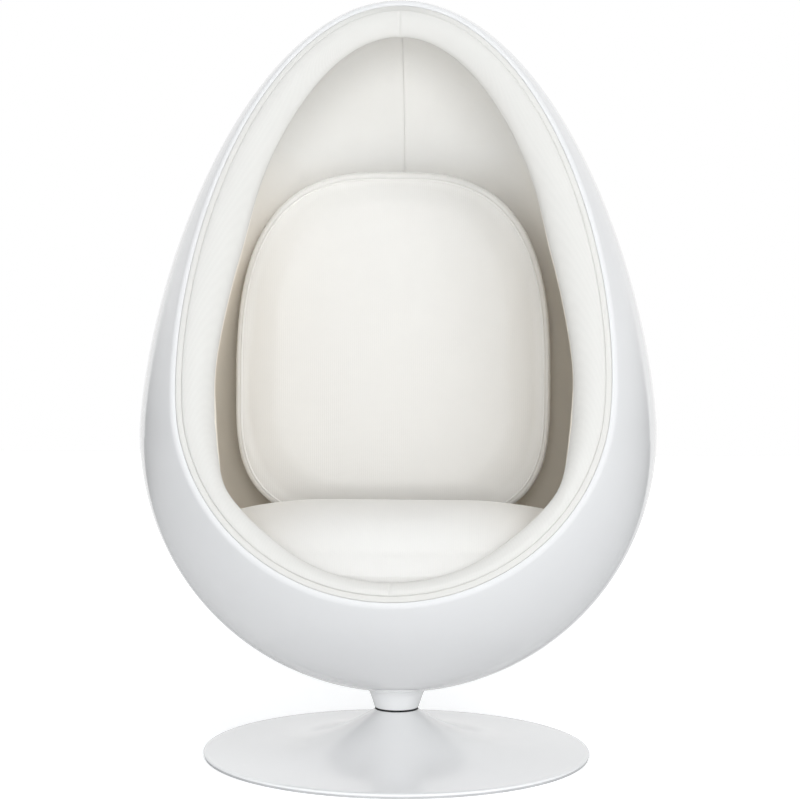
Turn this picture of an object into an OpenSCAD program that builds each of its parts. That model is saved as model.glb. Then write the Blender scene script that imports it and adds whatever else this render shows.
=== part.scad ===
// Pod chair: an egg-shaped moulded shell with a padded lining and loose cushions,
// which turns on a short neck above a flat trumpet pedestal.
// Millimetres. The origin is on the floor on the swivel axis, +Z is up and the chair faces -Y.

/* [Pod shell] */
// Outside radius of the round lower half, half of the pod's width
pod_r = 424; // [360:1:500]
// Height of the long upper half above the widest level
pod_upper_h = 720; // [600:1:840]
// Fullness of the upper half: 2 is an ellipse, less is slimmer
pod_fullness = 1.58; // [1.5:0.02:2]
// Backward lean of the pod, in degrees
pod_lean = 3; // [1:0.5:7]
// Thickness of the moulded shell
shell_wall = 6; // [4:0.5:9]

/* [Opening] */
// Backward lean of the opening's plane, in degrees
opening_lean = 17; // [14:0.25:20]
// Distance from the pod's centre forward to the opening's plane
opening_reach = 259; // [235:1:285]
// Width of the fabric-covered welt inside the shell's edge
welt_w = 9; // [6:0.5:12]
// Height of the welt's dome in front of its sides
welt_dome = 2; // [1:0.25:4]

/* [Lining] */
// Thickness of the padded lining at the widest level
lining_side_t = 34; // [24:1:44]
// Thickness of the padded lining at the bottom
lining_bottom_t = 18; // [10:1:24]
// Thickness of the padded lining at the top
lining_top_t = 31; // [20:1:40]
// Fullness of the lining's upper half: less is thicker padding beside the shoulders
lining_fullness = 1.24; // [1.15:0.01:1.5]
// Fullness of the lining's lower half: 2 is an ellipse, more is fuller
lining_low_fullness = 2.4; // [2:0.1:2.8]
// Depth of the padded roll round the opening
roll_depth = 22; // [12:1:28]
// Height of the roll's crown in front of the opening's plane
roll_crown = 4; // [1:0.5:8]
// How far the roll stands inward past the lining
roll_over = 4; // [1:0.5:10]

/* [Back cushion] */
// Width of the back cushion
back_w = 550; // [500:1:570]
// Height of the back cushion
back_h = 622; // [540:1:630]
// Thickness of the back cushion at its crown
back_t = 122; // [90:1:140]
// Thickness of the back cushion at its boxed edge
back_edge_t = 40; // [24:1:44]
// How far the middle of the back cushion sinks back into the pod's curve
back_bend = 24; // [10:1:28]
// Sideways place of the back cushion
back_shift = -15; // [-24:1:24]

/* [Seat cushion] */
// Height of the seat cushion's crown above its flat bottom
seat_t = 159; // [130:1:175]
// Clear space between the seat cushion and the lining
seat_gap = 3; // [2:0.5:8]
// Depth below the crown at which the cushion's sides turn
seat_side_drop = 58; // [40:1:75]
// Further depth of that turn at the rounded front
seat_front_drop = 48; // [36:1:60]
// Depth of the dip that carries the back cushion
seat_dip = 45; // [20:1:60]

/* [Pedestal] */
// Radius of the pedestal's foot
foot_r = 318; // [270:0.5:360]
// Height of the pedestal's neck above the floor
foot_h = 70.5; // [64:0.5:90]
// Radius of the pedestal's neck
foot_neck_r = 36; // [34:0.5:44]
// Thickness of the foot at its outer edge
foot_edge_t = 4; // [3:0.5:8]
// Steepness of the trumpet: higher is flatter outside and steeper at the neck
foot_flare = 3; // [2.2:0.1:3.6]
// Wall of the cast pedestal
foot_wall = 5.5; // [4:0.5:7]
// Radius of the hub under the pedestal
hub_r = 46; // [44:1:56]
// Number of ribs under the pedestal
rib_count = 6; // [4:1:10]
// Thickness of each rib
rib_t = 5; // [3:0.5:9]
// Height of the soft ring under the foot's edge
floor_ring_h = 3; // [2:0.5:5]
// Width of the soft ring
floor_ring_w = 22; // [14:1:34]

/* [Swivel] */
// Radius of the fixed spindle
spindle_r = 12.5; // [11:0.25:13]
// Radius of the spindle's flange under the hub
spindle_flange_r = 43; // [42:0.5:48]
// Thickness of the spindle's flange
spindle_flange_t = 6; // [5:0.5:9]
// Wall of the plain bushes
bush_wall = 2.5; // [2:0.1:3]
// Length of each bush
bush_len = 18; // [12:1:24]
// Wall of the turning sleeve
sleeve_wall = 5; // [4.5:0.25:5.5]
// Radius of each thrust ball
ball_r = 3; // [2.5:0.1:3.5]
// Number of thrust balls
ball_count = 14; // [10:1:16]
// Thickness of each thrust race
race_t = 3.5; // [3:0.1:5]

/* [Neck and fixing] */
// Height of the neck between the pedestal and the pod
neck_h = 30.7; // [26:0.1:40]
// Radius of the neck at its lower end
neck_low_r = 37; // [36:0.25:40]
// Radius of the neck where it meets the shell
neck_top_r = 52; // [46:0.5:64]
// Height of the black ring between pedestal and neck
ring_h = 2.5; // [2:0.1:4]
// Thickness of the pad moulded inside the shell's bottom
pad_t = 12; // [9:0.5:16]
// Radius of that pad
pad_r = 94; // [70:1:96]
// Thickness of the steel plate on the pad
plate_t = 6; // [4:0.5:9]
// Radius of the steel plate
plate_r = 78; // [60:1:90]
// Radius of the circle of fixing bolts
bolt_circle_r = 31.5; // [31:0.1:33]
// Thread radius of the fixing bolts
bolt_r = 4; // [3:0.25:4]
// Number of fixing bolts
bolt_count = 4; // [3:1:6]

/* [Hidden] */

// Clearances: between resting pieces, passing faces, bores, balls, bolt holes and seams
seat_clear = 0.3;
run_clear = 0.3;
bore_clear = 0.05;
ball_clear = 0.08;
hole_clear = 0.5;
lining_seam_gap = 0.4;
// How far cuts run past what they cut
overrun = 20;
cut_size = 2 * (pod_r + pod_upper_h);

// Fineness
round_fn = 128;
small_fn = 48;
egg_steps = 22;
rim_steps = 84;
rim_search_steps = 24;
cushion_steps = 40;
foot_steps = 26;
collar_steps = 10;

// Bolts, as shares of their thread radius, and their lengths
bolt_head_r_share = 1.6;
bolt_head_h_share = 1.25;
bolt_socket_share = 0.85;
bolt_washer_share = 2;
bolt_head_r = bolt_r * bolt_head_r_share;
bolt_head_h = bolt_r * bolt_head_h_share;
bolt_socket_r = bolt_r * bolt_socket_share;
bolt_socket_depth = bolt_head_h / 2;
washer_r = bolt_r * bolt_washer_share;
washer_t = 1.6;
plate_bolt_grip = 15;
spindle_bolt_len = 16;
spindle_bolt_circle_r = 33;

// Small sizes of the swivel
hub_h = 26;
groove_depth = 0.8;
race_out_r = 26;
cage_w = 8;
cage_h = 2;
end_washer_r = 21;
end_washer_t = 2.5;
clip_t = 1.5;
clip_w = 4.5;
clip_depth = 1;
clip_gap_angle = 50;
spindle_tip_h = 4;
spindle_chamfer = 1.5;

// Heights, from the floor up
spindle_flange_z = floor_ring_h + bolt_head_h + seat_clear;
hub_z = spindle_flange_z + spindle_flange_t;
hub_top = hub_z + hub_h;
ball_z = hub_top + race_t - groove_depth + ball_r + ball_clear;
upper_race_z = ball_z + ball_r + ball_clear - groove_depth;
sleeve_z = upper_race_z + race_t + seat_clear;
neck_z = foot_h + ring_h + run_clear;
pod_bottom = neck_z + neck_h;
pod_z = pod_bottom + pod_r;
pad_top = pod_bottom + shell_wall + pad_t;
plate_top = pad_top + plate_t;
end_washer_z = plate_top + run_clear;
clip_z = end_washer_z + end_washer_t + run_clear;
spindle_top = clip_z + clip_t + spindle_tip_h;

// Radii of the swivel
bush_in_r = spindle_r + bore_clear;
bush_out_r = bush_in_r + bush_wall;
sleeve_in_r = bush_out_r + bore_clear;
sleeve_r = sleeve_in_r + sleeve_wall;
race_in_r = spindle_r + hole_clear;
ball_circle_r = (race_in_r + race_out_r) / 2;
clip_in_r = spindle_r - clip_depth + bore_clear;

// Pedestal
foot_land_share = 0.72;
foot_round_share = 0.3;
foot_spread_share = 0.8;
foot_land_r = foot_r * foot_land_share;
foot_edge_round = foot_edge_t * foot_round_share;
foot_neck_in_r = foot_neck_r - foot_wall;
hub_pocket_clear = 1;

// Neck collar
collar_skirt = 4;
collar_skirt_h = 9;
collar_lip_h = 2;
collar_curve = 1.2;

// Lining cavity: radius, depth below and height above the pod's centre
cavity_r = pod_r - shell_wall - lining_side_t;
cavity_low = pod_r - shell_wall - lining_bottom_t;
cavity_up = pod_upper_h - shell_wall - lining_top_t;
lining_hole_gap = 3;
lining_hole_r = pad_r + lining_hole_gap;

// Welt and roll round the opening
rim_mid_share = 0.22;
welt_sides = 6;
roll_sides = 8;
roll_turn_share = 0.5;
roll_round_power = 0.7;
roll_least_w = 8;

// Seat cushion and the foam block under it
seat_floor_share = 0.645;
seat_floor = -pod_r * seat_floor_share;
seat_pocket_h = 26;
seat_pull = 5;
seat_foot_round = 14;
seat_foot_share = 0.9;
seat_dip_start_share = 0.1;
seat_dip_run_share = 0.28;
seat_front_power = 1.2;
seat_side_power = 0.55;
seat_share_power = 3.6;
seat_corner_power = 12;
seat_rings_up = 4;
seat_rings_top = 8;

// Back cushion: its widest level divides its height, and its outline is squarer below
back_low_share = 0.63;
back_up = back_h / (1 + back_low_share);
back_up_power = 2.85;
back_low_power = 3.25;
back_crown_power = 2.6;
back_crown_fall = 0.7;
back_pull_share = 0.02;
back_rings = 8;
back_search_steps = 20;
back_clear = 1;

// Radius of an egg at height s from its widest level, with the fullness of its two halves
function egg_r(s, r, low, up, low_full, up_full) =
    s < 0 ? r * sqrt(max(0, 1 - pow(-s / low, low_full))) : r * sqrt(max(0, 1 - pow(s / up, up_full)));

// Half outline of an egg from its lowest point to its top
function egg_outline(r, low, up, low_full, up_full) = concat(
    [for (i = [0 : egg_steps]) let (t = cos(90 * i / egg_steps)) [r * sqrt(1 - pow(t, low_full)), -low * t]],
    [for (i = [1 : egg_steps]) let (t = sin(90 * i / egg_steps)) [r * sqrt(1 - pow(t, up_full)), up * t]]);

// Everything in the pod is drawn from the pod's centre, along its leaning axis
module in_pod() {
    translate([0, 0, pod_z]) rotate([-pod_lean, 0, 0]) children();
}

module egg(r, low, up, low_full, up_full) {
    in_pod() rotate_extrude($fn = round_fn) polygon(egg_outline(r, low, up, low_full, up_full));
}

// The pod's own egg, a given distance inside its outside: its radius at a height, and its solid
function pod_at(s, d = 0) = egg_r(s, pod_r - d, pod_r - d, pod_upper_h - d, 2, pod_fullness);

module egg_inside(d) {
    egg(pod_r - d, pod_r - d, pod_upper_h - d, 2, pod_fullness);
}

// Radius of the lining's cavity at a height, and the cavity itself, each d further in
function cavity_at(s, d = 0) =
    egg_r(s, cavity_r - d, cavity_low - d, cavity_up - d, lining_low_fullness, lining_fullness);

module cavity(d = 0) {
    egg(cavity_r - d, cavity_low - d, cavity_up - d, lining_low_fullness, lining_fullness);
}

// All space in front of the opening's plane, set back by d
module in_front(d = 0) {
    translate([0, 0, pod_z]) rotate([-opening_lean, 0, 0])
        translate([-cut_size / 2, d - opening_reach - cut_size, -cut_size / 2]) cube(cut_size);
}

// Copies round the swivel axis
module around(count, r, turn = 0) {
    for (i = [0 : count - 1]) rotate([0, 0, turn + 360 * i / count]) translate([r, 0, 0]) children();
}

// Turned tube between two heights
module tube(out_r, in_r, z0, z1, fn = round_fn) {
    translate([0, 0, z0]) difference() {
        cylinder(r = out_r, h = z1 - z0, $fn = fn);
        translate([0, 0, -overrun]) cylinder(r = in_r, h = z1 - z0 + 2 * overrun, $fn = fn);
    }
}

// Pedestal: a flat trumpet with a hub, a hollow underside and ribs
function foot_top(r) =
    floor_ring_h + foot_edge_t
    + (foot_h - floor_ring_h - foot_edge_t) * pow((foot_r - r) / (foot_r - foot_neck_r), foot_flare);

module foot_half() {
    outside = [for (i = [0 : foot_steps]) let (
        u = pow(i / foot_steps, foot_spread_share), r = foot_r - foot_edge_round - (foot_r - foot_edge_round - foot_neck_r) * u)
        [r, foot_top(r)]];
    polygon(concat([[0, floor_ring_h], [foot_r - foot_edge_round, floor_ring_h],
        [foot_r, floor_ring_h + foot_edge_round], [foot_r, floor_ring_h + foot_edge_t - foot_edge_round]],
        outside, [[0, foot_h]]));
}

module foot_hollow_half() {
    under = [for (i = [0 : foot_steps]) let (r = foot_land_r - (foot_land_r - hub_r) * i / foot_steps)
        [r, max(floor_ring_h, foot_top(r) - foot_wall)]];
    polygon(concat([[hub_r, -overrun], [foot_land_r, -overrun]], under));
}

module pedestal() color("white") {
    difference() {
        rotate_extrude($fn = round_fn) foot_half();
        difference() {
            rotate_extrude($fn = round_fn) foot_hollow_half();
            for (i = [0 : rib_count - 1]) rotate([0, 0, 360 * (i + 0.5) / rib_count])
                translate([0, -rib_t / 2, floor_ring_h + foot_edge_t]) cube([foot_r, rib_t, foot_h]);
        }
        translate([0, 0, -overrun]) cylinder(r = spindle_flange_r + hub_pocket_clear, h = hub_z + overrun, $fn = round_fn);
        translate([0, 0, -overrun]) cylinder(r = spindle_r + bore_clear, h = foot_h, $fn = round_fn);
        translate([0, 0, hub_top]) cylinder(r = foot_neck_in_r, h = foot_h, $fn = round_fn);
        around(bolt_count, spindle_bolt_circle_r)
            cylinder(r = bolt_r + bore_clear, h = hub_z + spindle_bolt_len + seat_clear, $fn = small_fn);
    }
}

// Soft ring that the foot stands on, with a lip that shows as a thin line
module floor_ring() color("dimgray") {
    tube(foot_r - foot_edge_round, foot_r - floor_ring_w, 0, floor_ring_h);
}

// Fixed spindle with its flange, the shaft's groove for the circlip, and its screws
module spindle() color("silver") difference() {
    union() {
        translate([0, 0, spindle_flange_z])
            cylinder(r = spindle_flange_r, h = spindle_flange_t - seat_clear, $fn = round_fn);
        translate([0, 0, spindle_flange_z])
            cylinder(r = spindle_r, h = spindle_top - spindle_chamfer - spindle_flange_z, $fn = round_fn);
        translate([0, 0, spindle_top - spindle_chamfer])
            cylinder(r1 = spindle_r, r2 = spindle_r - spindle_chamfer, h = spindle_chamfer, $fn = round_fn);
    }
    tube(spindle_r + overrun, spindle_r - clip_depth, clip_z - seat_clear / 2, clip_z + clip_t + seat_clear / 2);
    around(bolt_count, spindle_bolt_circle_r)
        cylinder(r = bolt_r + hole_clear, h = hub_z + overrun, $fn = small_fn);
}

// Hex-head screw, head down, with its head's upper face at the origin
module hex_screw(len) {
    translate([0, 0, -bolt_head_h]) cylinder(r = bolt_head_r, h = bolt_head_h, $fn = 6);
    cylinder(r = bolt_r, h = len, $fn = small_fn);
}

module spindle_bolts() color("dimgray")
    around(bolt_count, spindle_bolt_circle_r)
        translate([0, 0, spindle_flange_z - seat_clear]) hex_screw(spindle_flange_t + spindle_bolt_len);

// Thrust bearing
module race_groove() {
    translate([0, 0, ball_z]) rotate_extrude($fn = round_fn)
        translate([ball_circle_r, 0]) circle(r = ball_r + ball_clear, $fn = small_fn);
}

module lower_race() color("silver") difference() {
    tube(race_out_r, race_in_r, hub_top, hub_top + race_t);
    race_groove();
}

module upper_race() color("silver") difference() {
    tube(race_out_r, race_in_r, upper_race_z, upper_race_z + race_t);
    race_groove();
}

module thrust_balls() color("silver")
    around(ball_count, ball_circle_r) translate([0, 0, ball_z]) sphere(r = ball_r, $fn = small_fn);

module ball_cage() color("goldenrod") difference() {
    tube(ball_circle_r + cage_w / 2, ball_circle_r - cage_w / 2, ball_z - cage_h / 2, ball_z + cage_h / 2);
    around(ball_count, ball_circle_r) translate([0, 0, ball_z - cage_h])
        cylinder(r = ball_r + 2 * ball_clear, h = 2 * cage_h, $fn = small_fn);
}

// Turning sleeve with its two bushes
module swivel_sleeve() color("gray") tube(sleeve_r, sleeve_in_r, sleeve_z, plate_top);
module lower_bush() color("peru") tube(bush_out_r, bush_in_r, sleeve_z + seat_clear, sleeve_z + bush_len);
module upper_bush() color("peru") tube(bush_out_r, bush_in_r, plate_top - bush_len, plate_top - seat_clear);

// Washer and circlip that keep the pod on the spindle
module end_washer() color("silver")
    tube(end_washer_r, spindle_r + bore_clear, end_washer_z, end_washer_z + end_washer_t);

module circlip() color("dimgray") difference() {
    tube(clip_in_r + clip_w, clip_in_r, clip_z, clip_z + clip_t);
    translate([0, 0, clip_z - overrun]) linear_extrude(clip_t + 2 * overrun)
        polygon([[0, 0], [2 * spindle_r * cos(clip_gap_angle / 2), 2 * spindle_r * sin(clip_gap_angle / 2)],
            [2 * spindle_r * cos(clip_gap_angle / 2), -2 * spindle_r * sin(clip_gap_angle / 2)]]);
}

// Black ring in the gap between pedestal and neck
module neck_ring() color("black") tube(neck_low_r - foot_edge_round, foot_neck_in_r, foot_h, foot_h + ring_h);

// Neck: a flared casting that turns with the pod, bored for the sleeve and tapped for the bolts
module neck_collar() color("white") {
    top = pod_bottom + neck_top_r * neck_top_r / pod_r;
    side = [for (i = [0 : collar_steps]) let (h = i / collar_steps)
        [neck_low_r + (neck_top_r - neck_low_r) * pow(h, collar_curve), neck_z + collar_lip_h + (top - neck_z - collar_lip_h) * h]];
    difference() {
        rotate_extrude($fn = round_fn) polygon(concat(
            [[0, neck_z], [neck_low_r - foot_edge_round, neck_z]], side, [[0, top]]));
        tube(neck_low_r - collar_skirt, sleeve_r + collar_skirt, neck_z - overrun, neck_z + collar_skirt_h);
        translate([0, 0, neck_z - overrun]) cylinder(r = sleeve_r + bore_clear, h = cut_size, $fn = round_fn);
        around(bolt_count, bolt_circle_r) translate([0, 0, pod_bottom - plate_bolt_grip - seat_clear])
            cylinder(r = bolt_r + bore_clear, h = cut_size, $fn = small_fn);
        egg_inside(-seat_clear);
    }
}

// Holes through the shell's bottom, its pad and the plate
module fixing_holes() {
    cylinder(r = sleeve_r + hole_clear, h = pod_z, $fn = round_fn);
    around(bolt_count, bolt_circle_r) cylinder(r = bolt_r + hole_clear, h = pod_z, $fn = small_fn);
}

module shell_pad() color("burlywood") difference() {
    intersection() {
        egg_inside(shell_wall + seat_clear);
        cylinder(r = pad_r, h = pad_top, $fn = round_fn);
    }
    fixing_holes();
}

module backing_plate() color("slategray") difference() {
    translate([0, 0, pad_top + seat_clear]) cylinder(r = plate_r, h = plate_t - seat_clear, $fn = round_fn);
    fixing_holes();
}

module plate_washers() color("silver")
    around(bolt_count, bolt_circle_r)
        tube(washer_r, bolt_r + hole_clear, plate_top, plate_top + washer_t, small_fn);

module plate_bolts() color("dimgray")
    around(bolt_count, bolt_circle_r) difference() {
        translate([0, 0, plate_top + washer_t + seat_clear]) rotate([180, 0, 0])
            hex_screw(plate_top + washer_t - pod_bottom + plate_bolt_grip);
        translate([0, 0, plate_top + washer_t + seat_clear + bolt_head_h - bolt_socket_depth])
            cylinder(r = bolt_socket_r, h = bolt_head_h, $fn = 6);
    }

// Shell: one moulding, cut by the opening's plane
module outer_shell() color("white") difference() {
    egg_inside(0);
    egg_inside(shell_wall);
    in_front();
    fixing_holes();
}

// The opening's edge. A point in its plane lies across and up from a middle point, and ahead of the plane
rim_mid = pod_upper_h * rim_mid_share;
rim_lean = opening_lean - pod_lean;
function pod_forward(up, ahead) = (opening_reach + ahead) * cos(rim_lean) - (up + rim_mid) * sin(rim_lean);
function pod_height(up, ahead) = (opening_reach + ahead) * sin(rim_lean) + (up + rim_mid) * cos(rim_lean);
function outside_pod(x, up) =
    norm([x, pod_forward(up, 0)]) > pod_at(pod_height(up, 0));
function rim_reach(q, lo, hi, n) =
    let (mid = (lo + hi) / 2)
    n == 0 ? mid : outside_pod(mid * cos(q), mid * sin(q)) ? rim_reach(q, lo, mid, n - 1) : rim_reach(q, mid, hi, n - 1);
rim_curve = [for (i = [0 : rim_steps - 1]) let (
    q = 360 * i / rim_steps, d = rim_reach(q, 0, pod_upper_h, rim_search_steps)) [d * cos(q), d * sin(q)]];
rim_inward = [for (i = [0 : rim_steps - 1]) let (
    t = rim_curve[(i + 1) % rim_steps] - rim_curve[(i + rim_steps - 1) % rim_steps]) [-t[1], t[0]] / norm(t)];

// Distance inward from the shell's edge, in a plane ahead or behind, at which the shell or the lining ends
function inside_of(lined, c, ahead) =
    let (s = pod_height(c[1], ahead)) norm([c[0], pod_forward(c[1], ahead)]) < (lined ? cavity_at(s) : pod_at(s, shell_wall));
function inner_edge(lined, i, ahead, lo, hi, n) =
    let (mid = (lo + hi) / 2)
    n == 0 ? mid
    : inside_of(lined, rim_curve[i] + rim_inward[i] * mid, ahead) ? inner_edge(lined, i, ahead, lo, mid, n - 1)
    : inner_edge(lined, i, ahead, mid, hi, n - 1);
function rim_inner(lined, i, ahead) =
    inner_edge(lined, i, ahead, 0, lined ? pod_r / 2 : 3 * shell_wall, rim_search_steps);

// A closed sweep along the rim, of one section at each of its steps.
// A section point is [distance inward, distance ahead of the plane].
module rim_sweep(sections) {
    n = len(sections[0]);
    points = [for (i = [0 : rim_steps - 1]) for (p = sections[i]) let (c = rim_curve[i] + rim_inward[i] * p[0])
        [c[0], -opening_reach - p[1], c[1] + rim_mid]];
    faces = [for (i = [0 : rim_steps - 1]) for (j = [0 : n - 1]) let (
        a = i * n + j, b = i * n + (j + 1) % n, c = ((i + 1) % rim_steps) * n + (j + 1) % n,
        d = ((i + 1) % rim_steps) * n + j) each [[a, b, c], [a, c, d]]];
    translate([0, 0, pod_z]) rotate([-opening_lean, 0, 0]) polyhedron(points, faces);
}

// Half a turn of a rounded top from one side to the other
function dome(from, to, foot, crown, sides) = [for (j = [0 : sides]) let (q = 180 * j / sides)
    [from + (to - from) * (1 - cos(q)) / 2, foot + (crown - foot) * pow(sin(q), roll_round_power)]];

// Fabric-covered welt between the shell's edge and the roll
module edge_welt() color("ivory") rim_sweep([for (i = [0 : rim_steps - 1]) let (
    from = rim_inner(false, i, 0) + seat_clear, to = from + welt_w)
    concat([[from, -roll_depth]], dome(from, to, -welt_dome, 0, welt_sides), [[to, -roll_depth]])]);

// Padded roll that the lining ends in
module edge_roll() color("ivory") rim_sweep([for (i = [0 : rim_steps - 1]) let (
    from = rim_inner(false, i, 0) + welt_w + 2 * seat_clear,
    to = max(from + roll_least_w, rim_inner(true, i, 0) + roll_over),
    back = max(from + roll_least_w / 2, rim_inner(true, i, -roll_depth)))
    concat([[from, -roll_depth]], dome(from, to, -roll_depth * roll_turn_share, roll_crown, roll_sides),
        [[back, -roll_depth]])]);

// Lining: two padded halves that meet in a seam at the middle, with a hole over the fixing
module lining_half(side) difference() {
    egg_inside(shell_wall + seat_clear);
    cavity();
    in_front(roll_depth + seat_clear);
    cylinder(r = lining_hole_r, h = pod_z, $fn = round_fn);
    translate([side > 0 ? lining_seam_gap / 2 - cut_size : -lining_seam_gap / 2, -cut_size / 2, 0])
        cube([cut_size, cut_size, cut_size]);
}

module lining_left() color("ivory") lining_half(-1);
module lining_right() color("ivory") lining_half(1);

// Firm foam block under the seat cushion
module seat_base() color("khaki") difference() {
    cavity(seat_clear);
    in_pod() translate([-cut_size / 2, -cut_size / 2, seat_floor - seat_clear]) cube(cut_size);
    cylinder(r = lining_hole_r, h = pad_top + seat_pocket_h, $fn = round_fn);
}

// Closed surface from rings of points, with a pole point at each end
module ring_solid(first, rings, last) {
    n = len(rings[0]);
    m = len(rings);
    points = concat([first], [for (r = rings) each r], [last]);
    top = m * n + 1;
    faces = concat(
        [for (j = [0 : n - 1]) [0, 1 + (j + 1) % n, 1 + j]],
        [for (i = [0 : m - 2]) for (j = [0 : n - 1]) let (
            a = 1 + i * n + j, b = 1 + i * n + (j + 1) % n, c = b + n, d = a + n) each [[a, b, c], [a, c, d]]],
        [for (j = [0 : n - 1]) [top, 1 + (m - 1) * n + j, 1 + (m - 1) * n + (j + 1) % n]]);
    polyhedron(points, faces);
}

// Seat cushion: it follows the cavity's curve at its sides and stays behind the roll at its front. Its top
// crowns, falls to the front and dips where the back cushion stands. Directions are angles from the front.
seat_crown = seat_floor + seat_t;
function seat_turn(q) = seat_crown - seat_side_drop - seat_front_drop * pow((1 + cos(q)) / 2, 2);
function seat_reach(s) =
    (opening_reach - roll_depth - seat_gap - s * sin(rim_lean)) / cos(rim_lean);
function seat_wall_r(s, q) =
    let (side = cavity_at(s) - seat_gap, front = max(0, cos(q)) / seat_reach(s))
    pow(pow(1 / side, seat_corner_power) + pow(front, seat_corner_power), -1 / seat_corner_power);
function smooth(x) = let (t = min(1, max(0, x))) t * t * (3 - 2 * t);
function seat_top(share, q) =
    let (front = (1 + cos(q)) / 2,
        fall = seat_side_power + (seat_front_power - seat_side_power) * front * front,
        back = -share * cos(q),
        dip = seat_dip * smooth((back - seat_dip_start_share) / seat_dip_run_share))
    seat_turn(q) + (seat_crown - dip - seat_turn(q)) * pow(1 - pow(share, seat_share_power), fall);
function seat_point(r, q, s) = [r * sin(q), -r * cos(q), s];
function seat_angle(j) = 360 * j / cushion_steps;

module seat_cushion() color("ivory") {
    low = [for (j = [0 : cushion_steps - 1]) seat_point(seat_foot_share * seat_wall_r(seat_floor, seat_angle(j)), seat_angle(j), seat_floor)];
    side = [for (i = [0 : seat_rings_up]) [for (j = [0 : cushion_steps - 1]) let (
        q = seat_angle(j), h = i / seat_rings_up,
        s = seat_floor + seat_foot_round + (seat_turn(q) - seat_floor - seat_foot_round) * h)
        seat_point(seat_wall_r(s, q) - seat_pull * sin(180 * h), q, s)]];
    top = [for (i = [1 : seat_rings_top - 1]) [for (j = [0 : cushion_steps - 1]) let (
        q = seat_angle(j), share = cos(90 * i / seat_rings_top))
        seat_point(share * seat_wall_r(seat_turn(q), q), q, seat_top(share, q))]];
    in_pod() ring_solid([0, 0, seat_floor], concat([low], side, top), [0, 0, seat_top(0, 0)]);
}

// Back cushion: a rounded square pillow with a boxed edge, crowned on both sides and bent to the pod
function squared(v, power) = sign(v) * pow(abs(v), 2 / power);
function back_point(share, q, y) =
    let (power = sin(q) < 0 ? back_low_power : back_up_power,
        x = share * back_w / 2 * squared(cos(q), power),
        z = share * back_up * squared(sin(q), power) * (sin(q) < 0 ? back_low_share : 1),
        bend = back_bend * (1 - pow(2 * x / back_w, 2)))
    [x, y + bend, z];
function back_half_t(share) =
    back_edge_t / 2 + (back_t - back_edge_t) / 2 * pow(1 - pow(share, back_crown_power), back_crown_fall);
function back_ring(share, y) = [for (j = [0 : cushion_steps - 1]) back_point(share, 360 * j / cushion_steps, y)];
back_front_rings = [for (i = [1 : back_rings]) let (share = sin(90 * i / back_rings)) back_ring(share, -back_half_t(share))];
back_rear_rings = [for (i = [0 : back_rings - 1]) let (share = cos(90 * i / back_rings)) back_ring(share, back_half_t(share))];

// It stands in the seat cushion's dip and leans against the lining: the height of its middle when that
// stands y behind the swivel axis, and the farthest place at which all of its rear clears the lining
function back_z(y) =
    let (foot = y + back_bend - back_edge_t / 2, s = seat_top(foot / seat_wall_r(seat_turn(180), 180), 180))
    pod_z - foot * sin(pod_lean) + s * cos(pod_lean) + back_clear + back_up * back_low_share;
function in_cavity(x, y, z) =
    norm([x, z * sin(pod_lean) - y * cos(pod_lean)])
    < cavity_at(y * sin(pod_lean) + z * cos(pod_lean)) - back_clear;
function back_misses(y) =
    let (z = back_z(y) - pod_z)
    [for (r = back_rear_rings) for (p = r) if (!in_cavity(back_shift + p[0], y + p[1], z + p[2])) 1];
function back_reach(lo, hi, n) =
    let (mid = (lo + hi) / 2)
    n == 0 ? lo : len(back_misses(mid)) > 0 ? back_reach(lo, mid, n - 1) : back_reach(mid, hi, n - 1);

module back_cushion() color("ivory") {
    place = back_reach(0, cavity_r, back_search_steps);
    translate([back_shift, place, back_z(place)]) ring_solid(
        [0, back_bend - back_t / 2, 0],
        concat(back_front_rings, [back_ring(1 - back_pull_share, 0)], back_rear_rings),
        [0, back_bend + back_t / 2, 0]);
}

pedestal();
floor_ring();
spindle();
spindle_bolts();
lower_race();
thrust_balls();
ball_cage();
upper_race();
swivel_sleeve();
lower_bush();
upper_bush();
end_washer();
circlip();
neck_ring();
neck_collar();
shell_pad();
backing_plate();
plate_washers();
plate_bolts();
outer_shell();
edge_welt();
edge_roll();
lining_left();
lining_right();
seat_base();
seat_cushion();
back_cushion();
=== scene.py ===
# Pod chair: smooth moulded shell, padded lining with a soft roll round the opening, loose cushions,
# flared neck and trumpet pedestal, drawn over the packed model's frame.
import math

import bmesh
import bpy
import numpy as np
from mathutils import Matrix, Vector
from mathutils.bvhtree import BVHTree


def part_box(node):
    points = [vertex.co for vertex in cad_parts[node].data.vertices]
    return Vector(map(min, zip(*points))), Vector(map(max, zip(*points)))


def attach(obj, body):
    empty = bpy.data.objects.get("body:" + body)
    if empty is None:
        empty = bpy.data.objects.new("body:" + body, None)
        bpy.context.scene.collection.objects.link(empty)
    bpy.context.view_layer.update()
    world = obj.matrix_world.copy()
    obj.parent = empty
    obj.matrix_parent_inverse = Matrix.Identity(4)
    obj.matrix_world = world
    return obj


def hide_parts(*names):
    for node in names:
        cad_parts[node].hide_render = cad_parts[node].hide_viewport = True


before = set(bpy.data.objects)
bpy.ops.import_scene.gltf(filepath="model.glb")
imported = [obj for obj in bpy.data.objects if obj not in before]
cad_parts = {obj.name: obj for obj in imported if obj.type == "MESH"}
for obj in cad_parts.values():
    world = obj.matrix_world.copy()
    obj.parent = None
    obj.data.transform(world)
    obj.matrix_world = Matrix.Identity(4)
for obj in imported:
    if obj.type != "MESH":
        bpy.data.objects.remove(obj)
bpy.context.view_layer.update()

bl_info = {
    "name": "Pod chair",
    "version": (1, 0, 0),
    "blender": (4, 5, 0),
    "location": "3D View > Sidebar > Pod chair",
    "description": "Builds a swivelling pod chair with a padded lining and loose cushions",
    "category": "Add Mesh",
}


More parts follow.
